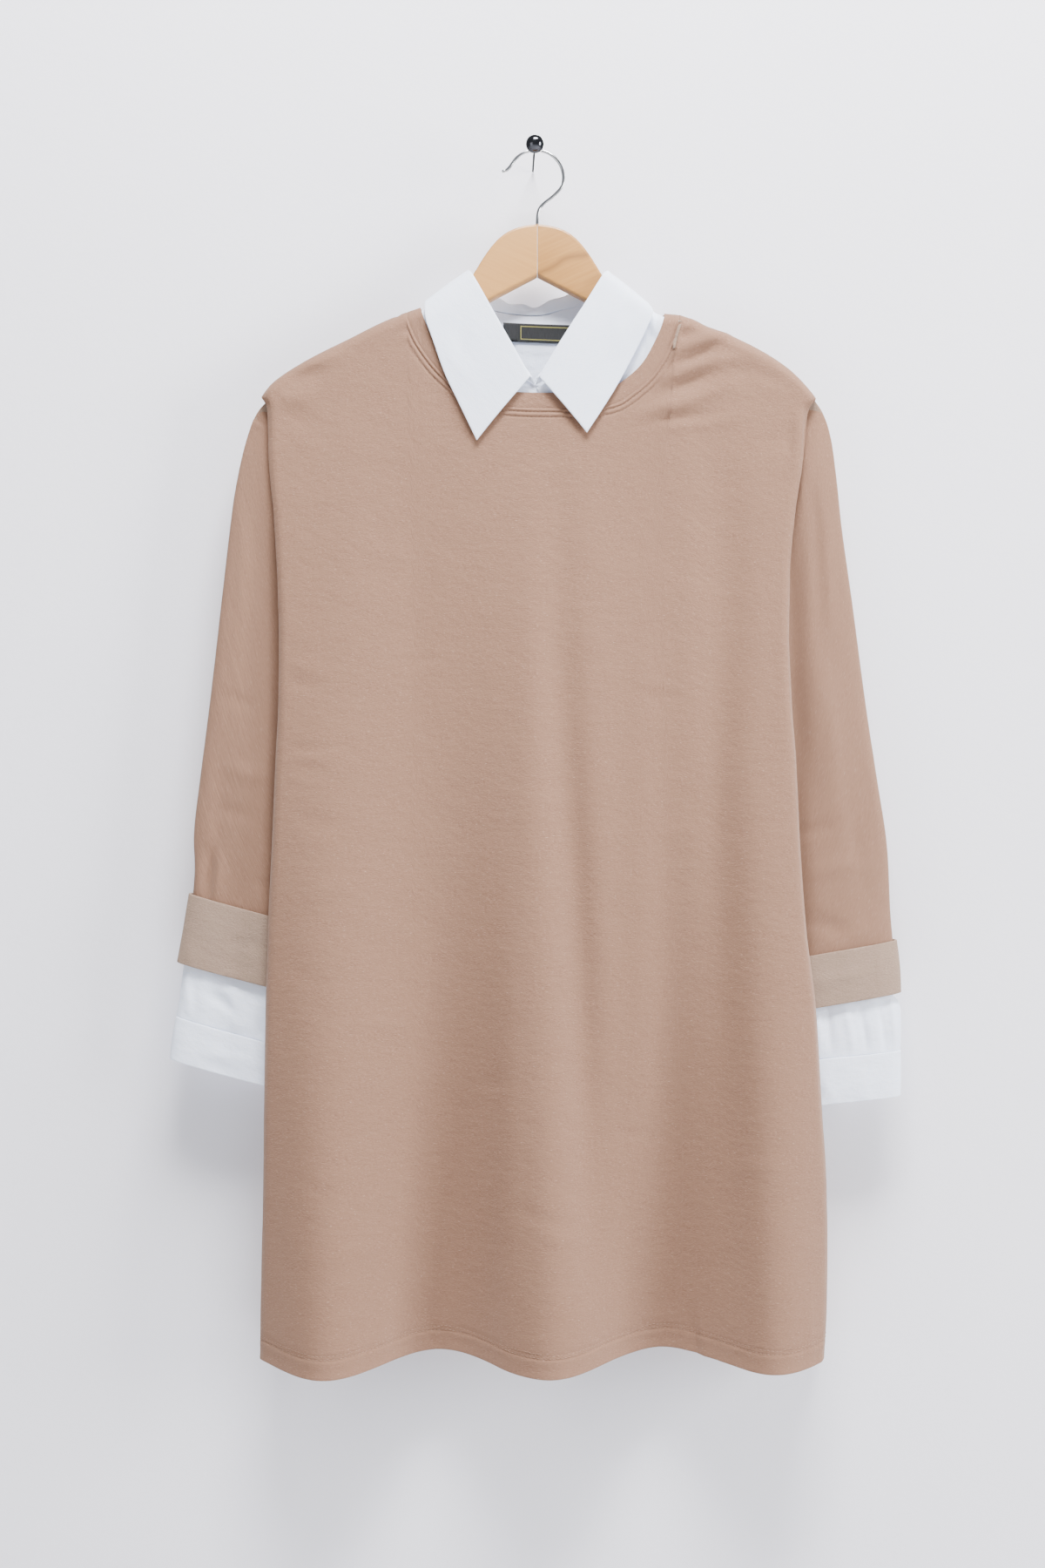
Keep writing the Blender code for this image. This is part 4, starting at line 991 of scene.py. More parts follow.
RIGHT_SLEEVE_WRINKLES = (
    Wrinkle((212, -150), (222, -800), 0, 9, -7),
    Wrinkle((246, -214), (226, -236), 0, 1.2, -1.2),
    Wrinkle((244, -219), (226, -240), 0, 1.6, 0.8),
    Wrinkle((240, -244), (250, -420), -3, 6, 1.3),
    Wrinkle((230, -262), (238, -400), 3, 6, -1.4),
    Wrinkle((226, -380), (262, -600), 6, 9, 1.9),
    Wrinkle((216, -420), (238, -620), 4, 8, -1.7),
    Wrinkle((250, -440), (282, -640), -5, 7, -1.3),
    Wrinkle((268, -450), (291, -600), 3, 6, 1.2),
    Wrinkle((212, -560), (258, -548), -4, 5, -1.0),
    Wrinkle((216, -600), (286, -588), 5, 5.5, 1.1),
    Wrinkle((222, -632), (268, -652), 4, 6, -1.6),
    Wrinkle((236, -650), (292, -634), -3, 5, 1.2),
    Wrinkle((204, -500), (222, -660), 2, 6, 1.2),
)
SLEEVE_BACK_WRINKLES = (
    Wrinkle((238, -240), (246, -440), 4, 8, 1.6),
    Wrinkle((226, -300), (228, -480), -3, 7, -1.5),
    Wrinkle((220, -420), (262, -470), 4, 7, 1.6),
    Wrinkle((210, -470), (258, -520), 5, 7, -1.7),
    Wrinkle((206, -540), (276, -566), -4, 7, 1.5),
    Wrinkle((214, -600), (280, -612), 3, 6, -1.4),
    Wrinkle((250, -520), (272, -660), 3, 8, 1.5),
)
TURNUP_WRINKLES = (
    Wrinkle((204, -560), (206, -800), 0, 8, -4),
    Wrinkle((206, -658), (262, -652), 3, 4.5, -0.7),
    Wrinkle((214, -682), (286, -672), -3, 5.0, 0.7),
    Wrinkle((244, -650), (250, -700), 2, 5.5, -0.6),
    Wrinkle((284, -646), (288, -692), 0, 4.0, 0.6),
)
LEFT_STUB_WRINKLES = (
    Wrinkle((-276, -690), (-240, -718), 4, 5, -2.2),
    Wrinkle((-264, -728), (-228, -736), -2, 4, -1.8),
    Wrinkle((-250, -676), (-246, -740), 2, 6, 1.5),
    Wrinkle((-226, -690), (-222, -748), 0, 5, -1.6),
    Wrinkle((-210, -690), (-206, -750), 0, 5, 1.4),
    Wrinkle((-286, -680), (-284, -722), 0, 4, 1.0),
)
RIGHT_STUB_WRINKLES = (
    Wrinkle((218, -700), (222, -752), 1, 2.6, -1.3),
    Wrinkle((232, -700), (236, -752), 2, 3.0, 1.0),
    Wrinkle((243, -700), (247, -752), 0, 2.4, -1.2),
    Wrinkle((256, -700), (264, -752), 2, 3.4, 1.1),
    Wrinkle((268, -700), (276, -752), 2, 2.8, -1.3),
    Wrinkle((284, -700), (291, -748), 2, 2.6, -1.1),
    Wrinkle((296, -694), (300, -742), 0, 3.2, 0.9),
)
LEFT_CUFF_WRINKLES = (
    Wrinkle((-280, -740), (-222, -756), 3, 5, 0.9),
    Wrinkle((-262, -744), (-252, -774), 0, 5, -1.0),
    Wrinkle((-216, -752), (-196, -778), 0, 4.5, -1.4),
    Wrinkle((-204, -750), (-186, -772), 0, 4, 1.3),
)
RIGHT_CUFF_WRINKLES = (
    Wrinkle((226, -756), (244, -796), 0, 3.0, -1.2),
    Wrinkle((234, -754), (252, -794), 0, 4.0, 0.9),
    Wrinkle((272, -750), (274, -792), 0, 6, 0.8),
    Wrinkle((208, -756), (214, -794), 0, 4, 0.6),
)
COLLAR_WRINKLES = (
    Wrinkle((-74, -150), (-44, -196), -3, 9, -0.7),
    Wrinkle((-60, -130), (-66, -190), 3, 8, 0.6),
    Wrinkle((86, -140), (50, -200), 3, 10, 0.7),
    Wrinkle((66, -116), (74, -170), 0, 8, -0.5),
)
INSET_WRINKLES = (
    Wrinkle((92, -136), (104, -170), 2, 3.2, -1.6),
    Wrinkle((100, -134), (110, -164), 0, 3.0, 1.4),
    Wrinkle((84, -150), (92, -178), 0, 3.0, 1.0),
    Wrinkle((-78, -138), (-90, -170), 2, 4.0, -1.0),
)
# The collar's fold at the back of the neck, which isn't pressed: how much it rises and falls.
BACK_WAVE = (
    Point(-46, 0), Point(-31, 1.8), Point(-20, -1.6), Point(-8, 0.6), Point(1, -2.2), Point(14, 1.0),
    Point(26, -0.6), Point(40, 0),
)

# Lines of stitching and relief beside a seam: how far from the seam, how wide, how high.
Relief = namedtuple("Relief", "off width rise")
NECK_RELIEFS = (
    Relief(1.3, 0.8, 0.45), Relief(2.9, 0.6, -0.75), Relief(5.0, 1.4, 0.45), Relief(7.1, 0.65, -0.75),
)
HEM_RELIEFS = (
    Relief(16.2, 0.6, -0.5), Relief(13.0, 1.8, 0.35), Relief(19.2, 0.55, -0.4), Relief(1.5, 2.0, 0.35),
)
NECK_FLAT = 1.5  # this near the neckband's seam a panel has no wrinkles
NECK_EASE = 5.5  # and over this much more they grow to their full height
SEAM_LAP = 0.1  # the neckband's edge runs this far out over the panels' edge
SEAM_DIP = 0.25  # and dips this far
NECK_TUCK = 0.55  # how far the panels' edge runs in under the neckband
NECK_DIP = 0.4  # and how far it dips there
NECK_ROWS = (2.9, 7.1)  # the twin needle's two rows, from the neckband's seam
HEM_ROWS = (16.2, 19.2)  # and from the hem's edge
CUFF_SEAM_REACH = 1.15  # the last step of the cloth on both sides of the cuffs' seams, as a share
STITCH = 2.7  # length, and the step from one to the next
STITCH_STEP = 3.3
THREAD = 0.42  # its thickness
STITCH_LIFT = 0.12  # its middle line above the cloth
# The rings of one stitch: where along it, how thick there, and how far above its middle line.
Ring = namedtuple("Ring", "along thick rise")
STITCH_RINGS = (
    Ring(0.0, 0.35, -0.30), Ring(0.14, 0.85, -0.04), Ring(0.5, 1.0, 0.08), Ring(0.86, 0.85, -0.04),
    Ring(1.0, 0.35, -0.30),
)
STITCH_SIDES = 6

# How far from a panel's top edge its rows lie: close where it turns over the hanger, and by the neck seam.
TOP_DROPS = (
    0, 0.15, 0.45, 0.9, 1.4, 2.0, 2.6, 3.2, 3.8, 4.5, 5.2, 5.9, 6.5, 7.1, 7.7, 8.4, 9.2, 10.2, 11.6, 13.2, 15,
    17.2, 20, 23.2,
)
HEM_RISES = (20.6, 19.2, 18.2, 17, 16.2, 15.4, 14, 12, 9.5, 7, 4.5, 2.5, 1.2, 0.4, 0)
PANEL_DROP = 800.0  # from the shoulders' tips to the hem

# The cut of each sheet that shows: width and length, and its area, in metres and square metres.
Cut = namedtuple("Cut", "width length area")


def wrinkle_rise(points, wrinkles):
    """How far each point of a sheet is lifted by its wrinkles, in mm."""
    x, z = points[..., 0], points[..., 2]
    total = np.zeros(x.shape)
    for wrinkle in wrinkles:
        start, end = np.array(wrinkle.start, float), np.array(wrinkle.end, float)
        run = end - start
        length = np.hypot(*run)
        ahead = ((x - start[0]) * run[0] + (z - start[1]) * run[1]) / length**2
        inside = np.clip(ahead, 0, 1)
        aside = ((z - start[1]) * run[0] - (x - start[0]) * run[1]) / length
        aside = aside - wrinkle.bow * 4 * inside * (1 - inside)
        total += wrinkle.rise * np.sin(np.pi * inside) ** 1.3 * np.exp(-((aside / wrinkle.width) ** 2))
    return total


def line_rise(distance, reliefs):
    """How far cloth stands up beside a seam, in mm, at each distance from it."""
    return sum(relief.rise * np.exp(-(((distance - relief.off) / relief.width) ** 2)) for relief in reliefs)


def wrinkle_share(from_neck):
    """How much of the wrinkles is left near the neckband's seam, which holds the cloth flat."""
    return np.clip((from_neck - NECK_FLAT) / NECK_EASE, 0, 1)


def mirrored(wrinkles):
    """The same wrinkles on the other side of the garment."""
    return tuple(
        Wrinkle((-w.start[0], w.start[1]), (-w.end[0], w.end[1]), -w.bow, w.width, w.rise) for w in wrinkles
    )


def outward(points, away):
    """The direction square to the sheet at each point, on the side that away points to at its middle."""
    down, across = np.gradient(points, axis=0), np.gradient(points, axis=1)
    out = np.cross(down, across)
    out /= np.maximum(np.linalg.norm(out, axis=2, keepdims=True), 1e-9)
    middle = (points.shape[0] // 2, points.shape[1] // 2)
    return out * (1.0 if float(np.dot(out[middle], away)) > 0 else -1.0)


def outward_of_loop(points):
    """The same for a closed loop, whose last column lies next to its first."""
    wrapped = np.concatenate([points[:, -2:], points, points[:, :2]], axis=1)
    down, across = np.gradient(wrapped, axis=0), np.gradient(wrapped, axis=1)
    out = np.cross(down, across)[:, 2:-2]
    out /= np.maximum(np.linalg.norm(out, axis=2, keepdims=True), 1e-9)
    from_middle = points - points.mean(axis=1, keepdims=True)
    return out * (1.0 if float((out * from_middle).sum()) > 0 else -1.0)


def distance_to(points, line):
    """Distance of each point to a line of points, as seen from in front."""
    flat = points[..., (0, 2)].reshape(-1, 2)
    line = np.array(line)[:, (0, 2)]
    best = np.full(len(flat), 1e9)
    for a, b in zip(line, line[1:]):
        run = b - a
        ahead = np.clip(((flat - a) @ run) / max(float(run @ run), 1e-9), 0, 1)
        best = np.minimum(best, np.linalg.norm(flat - a - ahead[:, None] * run, axis=1))
    return best.reshape(points.shape[:-1])


# ---- making meshes -------------------------------------------------------------------------------
def new_piece(name, mesh, slot, *materials):
    """A mesh put into the scene with its materials, riding on the garment."""
    for material in materials:
        mesh.materials.append(material)
    piece = bpy.data.objects.new(name, mesh)
    bpy.context.scene.collection.objects.link(piece)
    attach(piece, "root")
    return piece


def cloth_map(mesh, points, around, level):
    """A UV map in metres along the cloth: across it from its middle, and down it from its top edge, or
    where level from one height, so that a panel's courses run level below its sloped shoulders."""
    closed = np.concatenate([points, points[:, :1]], axis=1) if around else points
    across = np.linalg.norm(np.diff(closed, axis=1), axis=2).cumsum(axis=1)
    across = np.concatenate([np.zeros((len(points), 1)), across], axis=1)
    across -= across[:, across.shape[1] // 2, None]
    down = np.linalg.norm(np.diff(closed, axis=0), axis=2).cumsum(axis=0)
    down = np.concatenate([np.zeros((1, closed.shape[1])), down], axis=0)
    if level:
        down -= closed[:1, :, 2]
    layer = mesh.uv_layers.new(name="cloth")
    columns = points.shape[1]
    for face in mesh.polygons:
        rows = [vertex // columns for vertex in face.vertices]
        places = [vertex % columns for vertex in face.vertices]
        past = max(places) - min(places) > 1
        for corner, row, place in zip(face.loop_indices, rows, places):
            place = columns if past and place == 0 else place
            layer.data[corner].uv = (across[row, place] * MM, -down[row, place] * MM)


def cloth(
    name, points, wall, slot, material, reverse=None, around=False, flip=False,
    level=False,
):
    """A grid of outer points made one sheet of cloth, thickened inwards, its edges a little rounded."""
    rows, columns = points.shape[:2]
    faces = []
    for i in range(rows - 1):
        for j in range(columns if around else columns - 1):
            a = i * columns + j
            b = i * columns + (j + 1) % columns
            quad = (a, b, b + columns, a + columns)
            faces.append(quad[::-1] if flip else quad)
    mesh = bpy.data.meshes.new(name + "_cloth")
    mesh.from_pydata((points.reshape(-1, 3) * MM).tolist(), [], faces)
    cloth_map(mesh, points, around, level)
    mesh.shade_smooth()
    piece = new_piece(name + "_cloth", mesh, slot, material, reverse or material)
    wall_of = piece.modifiers.new("Wall", "SOLIDIFY")
    wall_of.thickness = wall * MM
    wall_of.offset = -1
    wall_of.material_offset = 1
    wall_of.material_offset_rim = 0
    edge = piece.modifiers.new("Edge", "BEVEL")
    edge.width = 0.3 * wall * MM
    edge.segments = 2
    edge.limit_method = "ANGLE"
    edge.angle_limit = math.radians(58)
    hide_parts(name)
    return piece


def stitches(name, runs, slot, material):
    """Rows of stitches: each a short rounded thread, laid on its line with its ends dipping in."""
    sides = STITCH_SIDES
    points, faces = [], []
    for run in runs:
        reach = [0.0]
        for a, b in zip(run, run[1:]):
            reach.append(reach[-1] + (b[0] - a[0]).length)
        count = int(reach[-1] / STITCH_STEP)
        for k in range(count):
            middle = (k + 0.5) * STITCH_STEP
            i = min(bisect_right(reach, middle) - 1, len(run) - 2)
            share = (middle - reach[i]) / max(reach[i + 1] - reach[i], 1e-6)
            place = run[i][0].lerp(run[i + 1][0], share)
            up = run[i][1].lerp(run[i + 1][1], share).normalized()
            ahead = (run[i + 1][0] - run[i][0]).normalized()
            aside = up.cross(ahead).normalized()
            base = len(points)
            for ring in STITCH_RINGS:
                centre = place + ahead * (ring.along - 0.5) * STITCH + up * ring.rise
                for side in range(sides):
                    angle = 2 * math.pi * side / sides
                    spoke = aside * math.cos(angle) + up * math.sin(angle)
                    points.append((centre + spoke * THREAD / 2 * ring.thick) * MM)
            for r in range(len(STITCH_RINGS) - 1):
                for side in range(sides):
                    a = base + r * sides + side
                    b = base + r * sides + (side + 1) % sides
                    faces.append((a, b, b + sides, a + sides))
            faces.append(tuple(base + side for side in reversed(range(sides))))
            last = base + (len(STITCH_RINGS) - 1) * sides
            faces.append(tuple(last + side for side in range(sides)))
    mesh = bpy.data.meshes.new(name)
    mesh.from_pydata(points, [], faces)
    mesh.shade_smooth()
    return new_piece(name, mesh, slot, material)


# ---- materials -----------------------------------------------------------------------------------
def tone(hex_colour):
    """A linear colour from an sRGB hex value."""
    channels = [int(hex_colour[i : i + 2], 16) / 255 for i in (1, 3, 5)]
    linear = [c / 12.92 if c <= 0.04045 else ((c + 0.055) / 1.055) ** 2.4 for c in channels]
    return (*linear, 1.0)


def add(tree, kind, inputs=(), **settings):
    """A shader node with its settings; each input is a value or the output that it is linked to."""
    made = tree.nodes.new("ShaderNode" + kind)
    for name, value in settings.items():
        setattr(made, name, value)
    for socket, value in dict(inputs).items():
        if isinstance(value, bpy.types.NodeSocket):
            tree.links.new(value, made.inputs[socket])
        else:
            made.inputs[socket].default_value = value
    return made


def new_material(name, roughness, metallic=0.0):
    """A plain material, its nodes, and the node that its colour and relief go into."""
    material = bpy.data.materials.new(name)
    material.use_nodes = True
    shader = material.node_tree.nodes["Principled BSDF"]
    shader.inputs["Roughness"].default_value = roughness
    shader.inputs["Metallic"].default_value = metallic
    return material, material.node_tree, shader


def cloth_grains(tree, grains):
    """Soft noise along the cloth for each grain: its width and height in mm, its detail, how rough it is."""
    place = add(tree, "UVMap", uv_map="cloth").outputs[0]
    noise = {}
    for grain, (wide, tall, detail, rough) in grains.items():
        scaled = add(tree, "Mapping", {"Vector": place, "Scale": (1 / (wide * MM), 1 / (tall * MM), 1)})
        inputs = {"Vector": scaled.outputs[0], "Scale": 1.0, "Detail": detail, "Roughness": rough}
        noise[grain] = add(tree, "TexNoise", inputs, noise_dimensions="2D").outputs[0]
    return noise


def paint(tree, shader, ground, layers):
    """The ground's colour, with each layer's over it: none where its noise is low, all of it where high."""
    colour = tone(ground)
    for noise, low, high, over in layers:
        share = add(tree, "MapRange", {"Value": noise, "From Min": low, "From Max": high})
        mixed = add(tree, "Mix", {0: share.outputs[0], 6: colour, 7: tone(over)}, data_type="RGBA")
        colour = mixed.outputs[2]
    tree.links.new(colour, shader.inputs["Base Color"])


def emboss(tree, shader, strength, layers):
    """Relief from noises, each with its height in mm."""
    height = 0.0
    for noise, rise in layers:
        height = add(tree, "Math", {0: noise, 1: rise, 2: height}, operation="MULTIPLY_ADD").outputs[0]
    bump = add(tree, "Bump", {"Height": height, "Strength": strength, "Distance": MM})
    tree.links.new(bump.outputs[0], shader.inputs["Normal"])


def fleece(name, shade, light, mottle, fleck, loops):
    """Sweatshirt fleece: jersey knitted from a cotton melange yarn. The eye gets a matt, slightly uneven
    cloth with short light and dark flecks along its courses, soft crinkles, and a nap that catches light
    at its edges. A yarn is 0.4 mm thick, and its flecks are drawn 0.8 mm tall, because finer ones don't
    show."""
    material, tree, shader = new_material(name, 0.92)
    grains = cloth_grains(tree, {
        "yarn": (2.6, 0.8, 3, 0.6),
        "patches": (26, 11, 3, 0.6),
        "flecks": (3.0, 0.8, 1, 0.4),
        "nap": (2.2, 0.9, 3, 0.7),
        "crinkle": (10, 5.2, 4, 0.6),
        "dents": (38, 26, 3, 0.5),
    })
    paint(tree, shader, shade, (
        (grains["yarn"], 0.34, 0.66, light),
        (grains["patches"], 0.3, 0.7, mottle),
        (grains["flecks"], 0.7, 0.86, fleck),
    ))
    emboss(tree, shader, 0.8, ((grains["nap"], loops), (grains["crinkle"], 0.62), (grains["dents"], 1.0)))
    shader.inputs["Sheen Weight"].default_value = 0.22
    shader.inputs["Sheen Roughness"].default_value = 0.5
    shader.inputs["Sheen Tint"].default_value = tone("#f3e3da")
    shader.inputs["Specular IOR Level"].default_value = 0.25
    return material


def poplin(name, crumple):
    """Shirt poplin: fine plain-woven cotton, bleached and pressed. The eye gets a bright, cool white with
    soft dents. Threads are 0.3 mm apart, and are drawn at 0.8 mm, because finer ones don't show."""
    material, tree, shader = new_material(name, 0.78)
    grains = cloth_grains(tree, {
        "slubs": (6, 0.8, 3, 0.6),
        "patches": (24, 20, 2, 0.5),
        "warp": (0.8, 5.0, 2, 0.5),
        "weft": (5.0, 0.8, 2, 0.5),
        "dents": (22, 15, 3, 0.5),
    })
    paint(tree, shader, "#e4ecff", (
        (grains["slubs"], 0.35, 0.65, "#eef3ff"),
        (grains["patches"], 0.3, 0.7, "#e8efff"),
    ))
    emboss(tree, shader, 0.7, ((grains["warp"], 0.12), (grains["weft"], 0.12), (grains["dents"], crumple)))
    shader.inputs["Sheen Weight"].default_value = 0.08
    shader.inputs["Sheen Roughness"].default_value = 0.4
    return material


def thread(name, colour_from, colour_to):
    """Spun polyester sewing thread: fine, with a little more gloss than the cloth that it lies in. Its
    plies twist once in about a millimetre."""
    material, tree, shader = new_material(name, 0.6)
    place = add(tree, "TexCoord").outputs["Object"]
    twist = add(tree, "TexNoise", {"Vector": place, "Scale": 900.0, "Detail": 2.0}).outputs[0]
    paint(tree, shader, colour_from, ((twist, 0.35, 0.65, colour_to),))
    shader.inputs["Sheen Weight"].default_value = 0.1
    return material


def label_tape(name, colour_from, colour_to):
    """Woven damask label tape in polyester: dense ribs 0.5 mm apart across it, with a faint satin gloss."""
    material, tree, shader = new_material(name, 0.55)
    ribs = cloth_grains(tree, {"ribs": (0.5, 6.0, 2, 0.5)})["ribs"]
    paint(tree, shader, colour_from, ((ribs, 0.35, 0.65, colour_to),))
    emboss(tree, shader, 0.6, ((ribs, 0.1),))
    shader.inputs["Sheen Weight"].default_value = 0.1
    return material


def beech(name, lean, pale, warm, streak, streak_at):
    """Steamed beech, planed, sanded and lacquered: straight grain along each arm, short darker pores, one
    broad darker growth band, and a thin clear gloss. Growth rings are 2.4 mm apart. Pores are 0.1 by 2 mm,
    and are drawn three times as wide, because finer ones don't show."""
    material, tree, shader = new_material(name, 0.42)
    place = add(tree, "TexCoord").outputs["Object"]
    moved = {"Vector": place, "Location": (-HANGER_X * MM, 0, 0.098), "Rotation": (0, lean, 0)}
    turned = add(tree, "Mapping", moved).outputs[0]
    # How long, deep and wide a grain of the growth rings is, and a pore, in metres.
    grain = add(tree, "Mapping", {"Vector": turned, "Scale": (1 / 0.055, 1 / 0.008, 1 / 0.0024)})
    inputs = {"Vector": grain.outputs[0], "Scale": 1.0, "Detail": 4.0, "Roughness": 0.55}
    rings = add(tree, "TexNoise", inputs).outputs[0]
    fine = add(tree, "Mapping", {"Vector": turned, "Scale": (1 / 0.0024, 1 / 0.0006, 1 / 0.00035)})
    inputs = {"Vector": fine.outputs[0], "Scale": 1.0, "Detail": 1.0, "Roughness": 0.4}
    pores = add(tree, "TexNoise", inputs).outputs[0]
    # The growth band runs along the arm, streak_at above its lower edge, and wanders a little.
    parts = add(tree, "SeparateXYZ", {0: turned})
    wander = add(tree, "TexNoise", {"Vector": turned, "Scale": 22.0, "Detail": 2.0, "Roughness": 0.5})
    across = {0: wander.outputs[0], 1: 0.016, 2: parts.outputs[2]}
    across = add(tree, "Math", across, operation="MULTIPLY_ADD").outputs[0]
    off = add(tree, "Math", {0: across, 1: streak_at}, operation="SUBTRACT").outputs[0]
    off = add(tree, "Math", {0: off}, operation="ABSOLUTE").outputs[0]
    colour = tone(pale)
    for value, low, high, least, most, over in (
        (rings, 0.3, 0.7, 0.0, 1.0, warm),
        (off, 0.0, 0.0045, 0.85, 0.0, streak),
        (pores, 0.66, 0.8, 0.0, 0.45, "#a9794c"),
    ):
        limits = {"Value": value, "From Min": low, "From Max": high, "To Min": least, "To Max": most}
        share = add(tree, "MapRange", limits).outputs[0]
        colour = add(tree, "Mix", {0: share, 6: colour, 7: tone(over)}, data_type="RGBA").outputs[2]
    tree.links.new(colour, shader.inputs["Base Color"])
    emboss(tree, shader, 0.5, ((rings, 0.06),))
    shader.inputs["Coat Weight"].default_value = 0.35
    shader.inputs["Coat Roughness"].default_value = 0.22
    return material


def plated_steel(name, colour_from, colour_to):
    """Drawn or turned steel with a bright chrome plating: a clear mirror, very slightly rippled by the
    drawing and the turning, with ripples 4 mm long. Given dark colours, it carries a painted dark reflection
    of a room."""
    material, tree, shader = new_material(name, 0.12, 1.0)
    place = add(tree, "TexCoord").outputs["Object"]
    ripple = add(tree, "TexNoise", {"Vector": place, "Scale": 260.0, "Detail": 2.0}).outputs[0]
    paint(tree, shader, colour_from, ((ripple, 0.0, 1.0, colour_to),))
    limits = {"Value": ripple, "From Min": 0.3, "From Max": 0.7, "To Min": 0.08, "To Max": 0.2}
    tree.links.new(add(tree, "MapRange", limits).outputs[0], shader.inputs["Roughness"])
    emboss(tree, shader, 0.5, ((ripple, 0.02),))
    return material


# ---- the pieces ----------------------------------------------------------------------------------
def panel_downs(step):
    """Shares down a panel for its rows: close at both ends, and step apart between them."""
    top = [drop / PANEL_DROP for drop in TOP_DROPS]
    low = [1 - rise / PANEL_DROP for rise in HEM_RISES]
    count = round((low[0] - top[-1]) * PANEL_DROP / step)
    return top + [lerp(top[-1], low[0], i / count) for i in range(1, count)] + low


def neck_shares(count):
    """Shares along a neckline, a little closer together where it turns over the hanger."""
    return [lerp(i / count, share, 0.75) for i, share in enumerate(close_to_ends(count))]


def make_panel(name, face, step, shoulder_steps, neck_steps, side_steps, wrinkles, knit, reverse, flip):
    """The front or the back: its form, its wrinkles, and the relief beside its neck seam and its hem."""
    shares = panel_shares(shoulder_steps, neck_shares(neck_steps))
    points = np.array(panel_grid(face, panel_downs(step), shares, side_steps))
    out = outward(points, (0, face, 0))
    facing = np.clip(out[..., 1] * face * 2.5, 0, 1)
    neckline = [near_neckline(face, i / 200, 0, 0) for i in range(201)]
    rise = wrinkle_rise(points, wrinkles) * facing
    near = distance_to(points, neckline)
    rise = rise * wrinkle_share(near) + line_rise(near, NECK_RELIEFS)
    from_hem = np.linalg.norm(np.diff(points, axis=0), axis=2)[::-1].cumsum(axis=0)[::-1]
    from_hem = np.concatenate([from_hem, np.zeros((1, points.shape[1]))], axis=0)
    rise += line_rise(from_hem, HEM_RELIEFS) * facing
    # Along the neck the panel's edge is sewn in under the band's.
    at_neck = near[0] < 0.5
    inward = points[0] - points[1]
    along = np.gradient(points[0], axis=0)
    along /= np.linalg.norm(along, axis=1, keepdims=True)
    inward -= along * (inward * along).sum(axis=1, keepdims=True)
    inward /= np.linalg.norm(inward, axis=1, keepdims=True)
    points = points + out * rise[..., None]
    points[0] += (inward * NECK_TUCK - out[0] * NECK_DIP) * at_neck[:, None]
    cloth(name, points, KNIT_WALL, "knit", knit, reverse, flip=flip, level=True)
    return points, out


def neck_run(face, wrinkles, off, count):
    """The line of one row of stitches round the neck, with the direction out of the cloth."""
    run = []
    for i in range(1, count):
        share = i / count
        place = np.array(near_neckline(face, share, -off, 0))
        relief = line_rise(off, NECK_RELIEFS) + wrinkle_rise(place, wrinkles) * wrinkle_share(off)
        lift = float(relief) + STITCH_LIFT
        at = Vector(near_neckline(face, share, -off, lift))
        up = (Vector(near_neckline(face, share, -off, lift + 1)) - at).normalized()
        run.append((at, up))
    return run


def hem_run(points, out, rise):
    """The line of one row of stitches this far above a panel's hem."""
    steps = np.linalg.norm(np.diff(points, axis=0), axis=2)[::-1].cumsum(axis=0)
    run = []
    for j in range(2, points.shape[1] - 2):
        i = int(np.searchsorted(steps[:, j], rise))
        row = len(points) - 2 - i
        up = Vector(out[row, j])
        run.append((Vector(points[row, j]) + up * STITCH_LIFT, up))
    return run


def creased_loop(points, front, back):
    """Wrinkles on a tube: its own in front, others behind."""
    out = outward_of_loop(points)
    ahead = np.clip(-out[..., 1] * 1.6, 0, 1)
    behind = np.clip(out[..., 1] * 1.6, 0, 1)
    rise = wrinkle_rise(points, front) * ahead + wrinkle_rise(points, back) * behind
    # The rings at both ends keep their line.
    rows = np.arange(len(points))
    keep = np.clip(np.minimum(rows, len(points) - 1 - rows) / 3, 0.0, 1)
    return points + out * (rise * keep[:, None])[..., None]


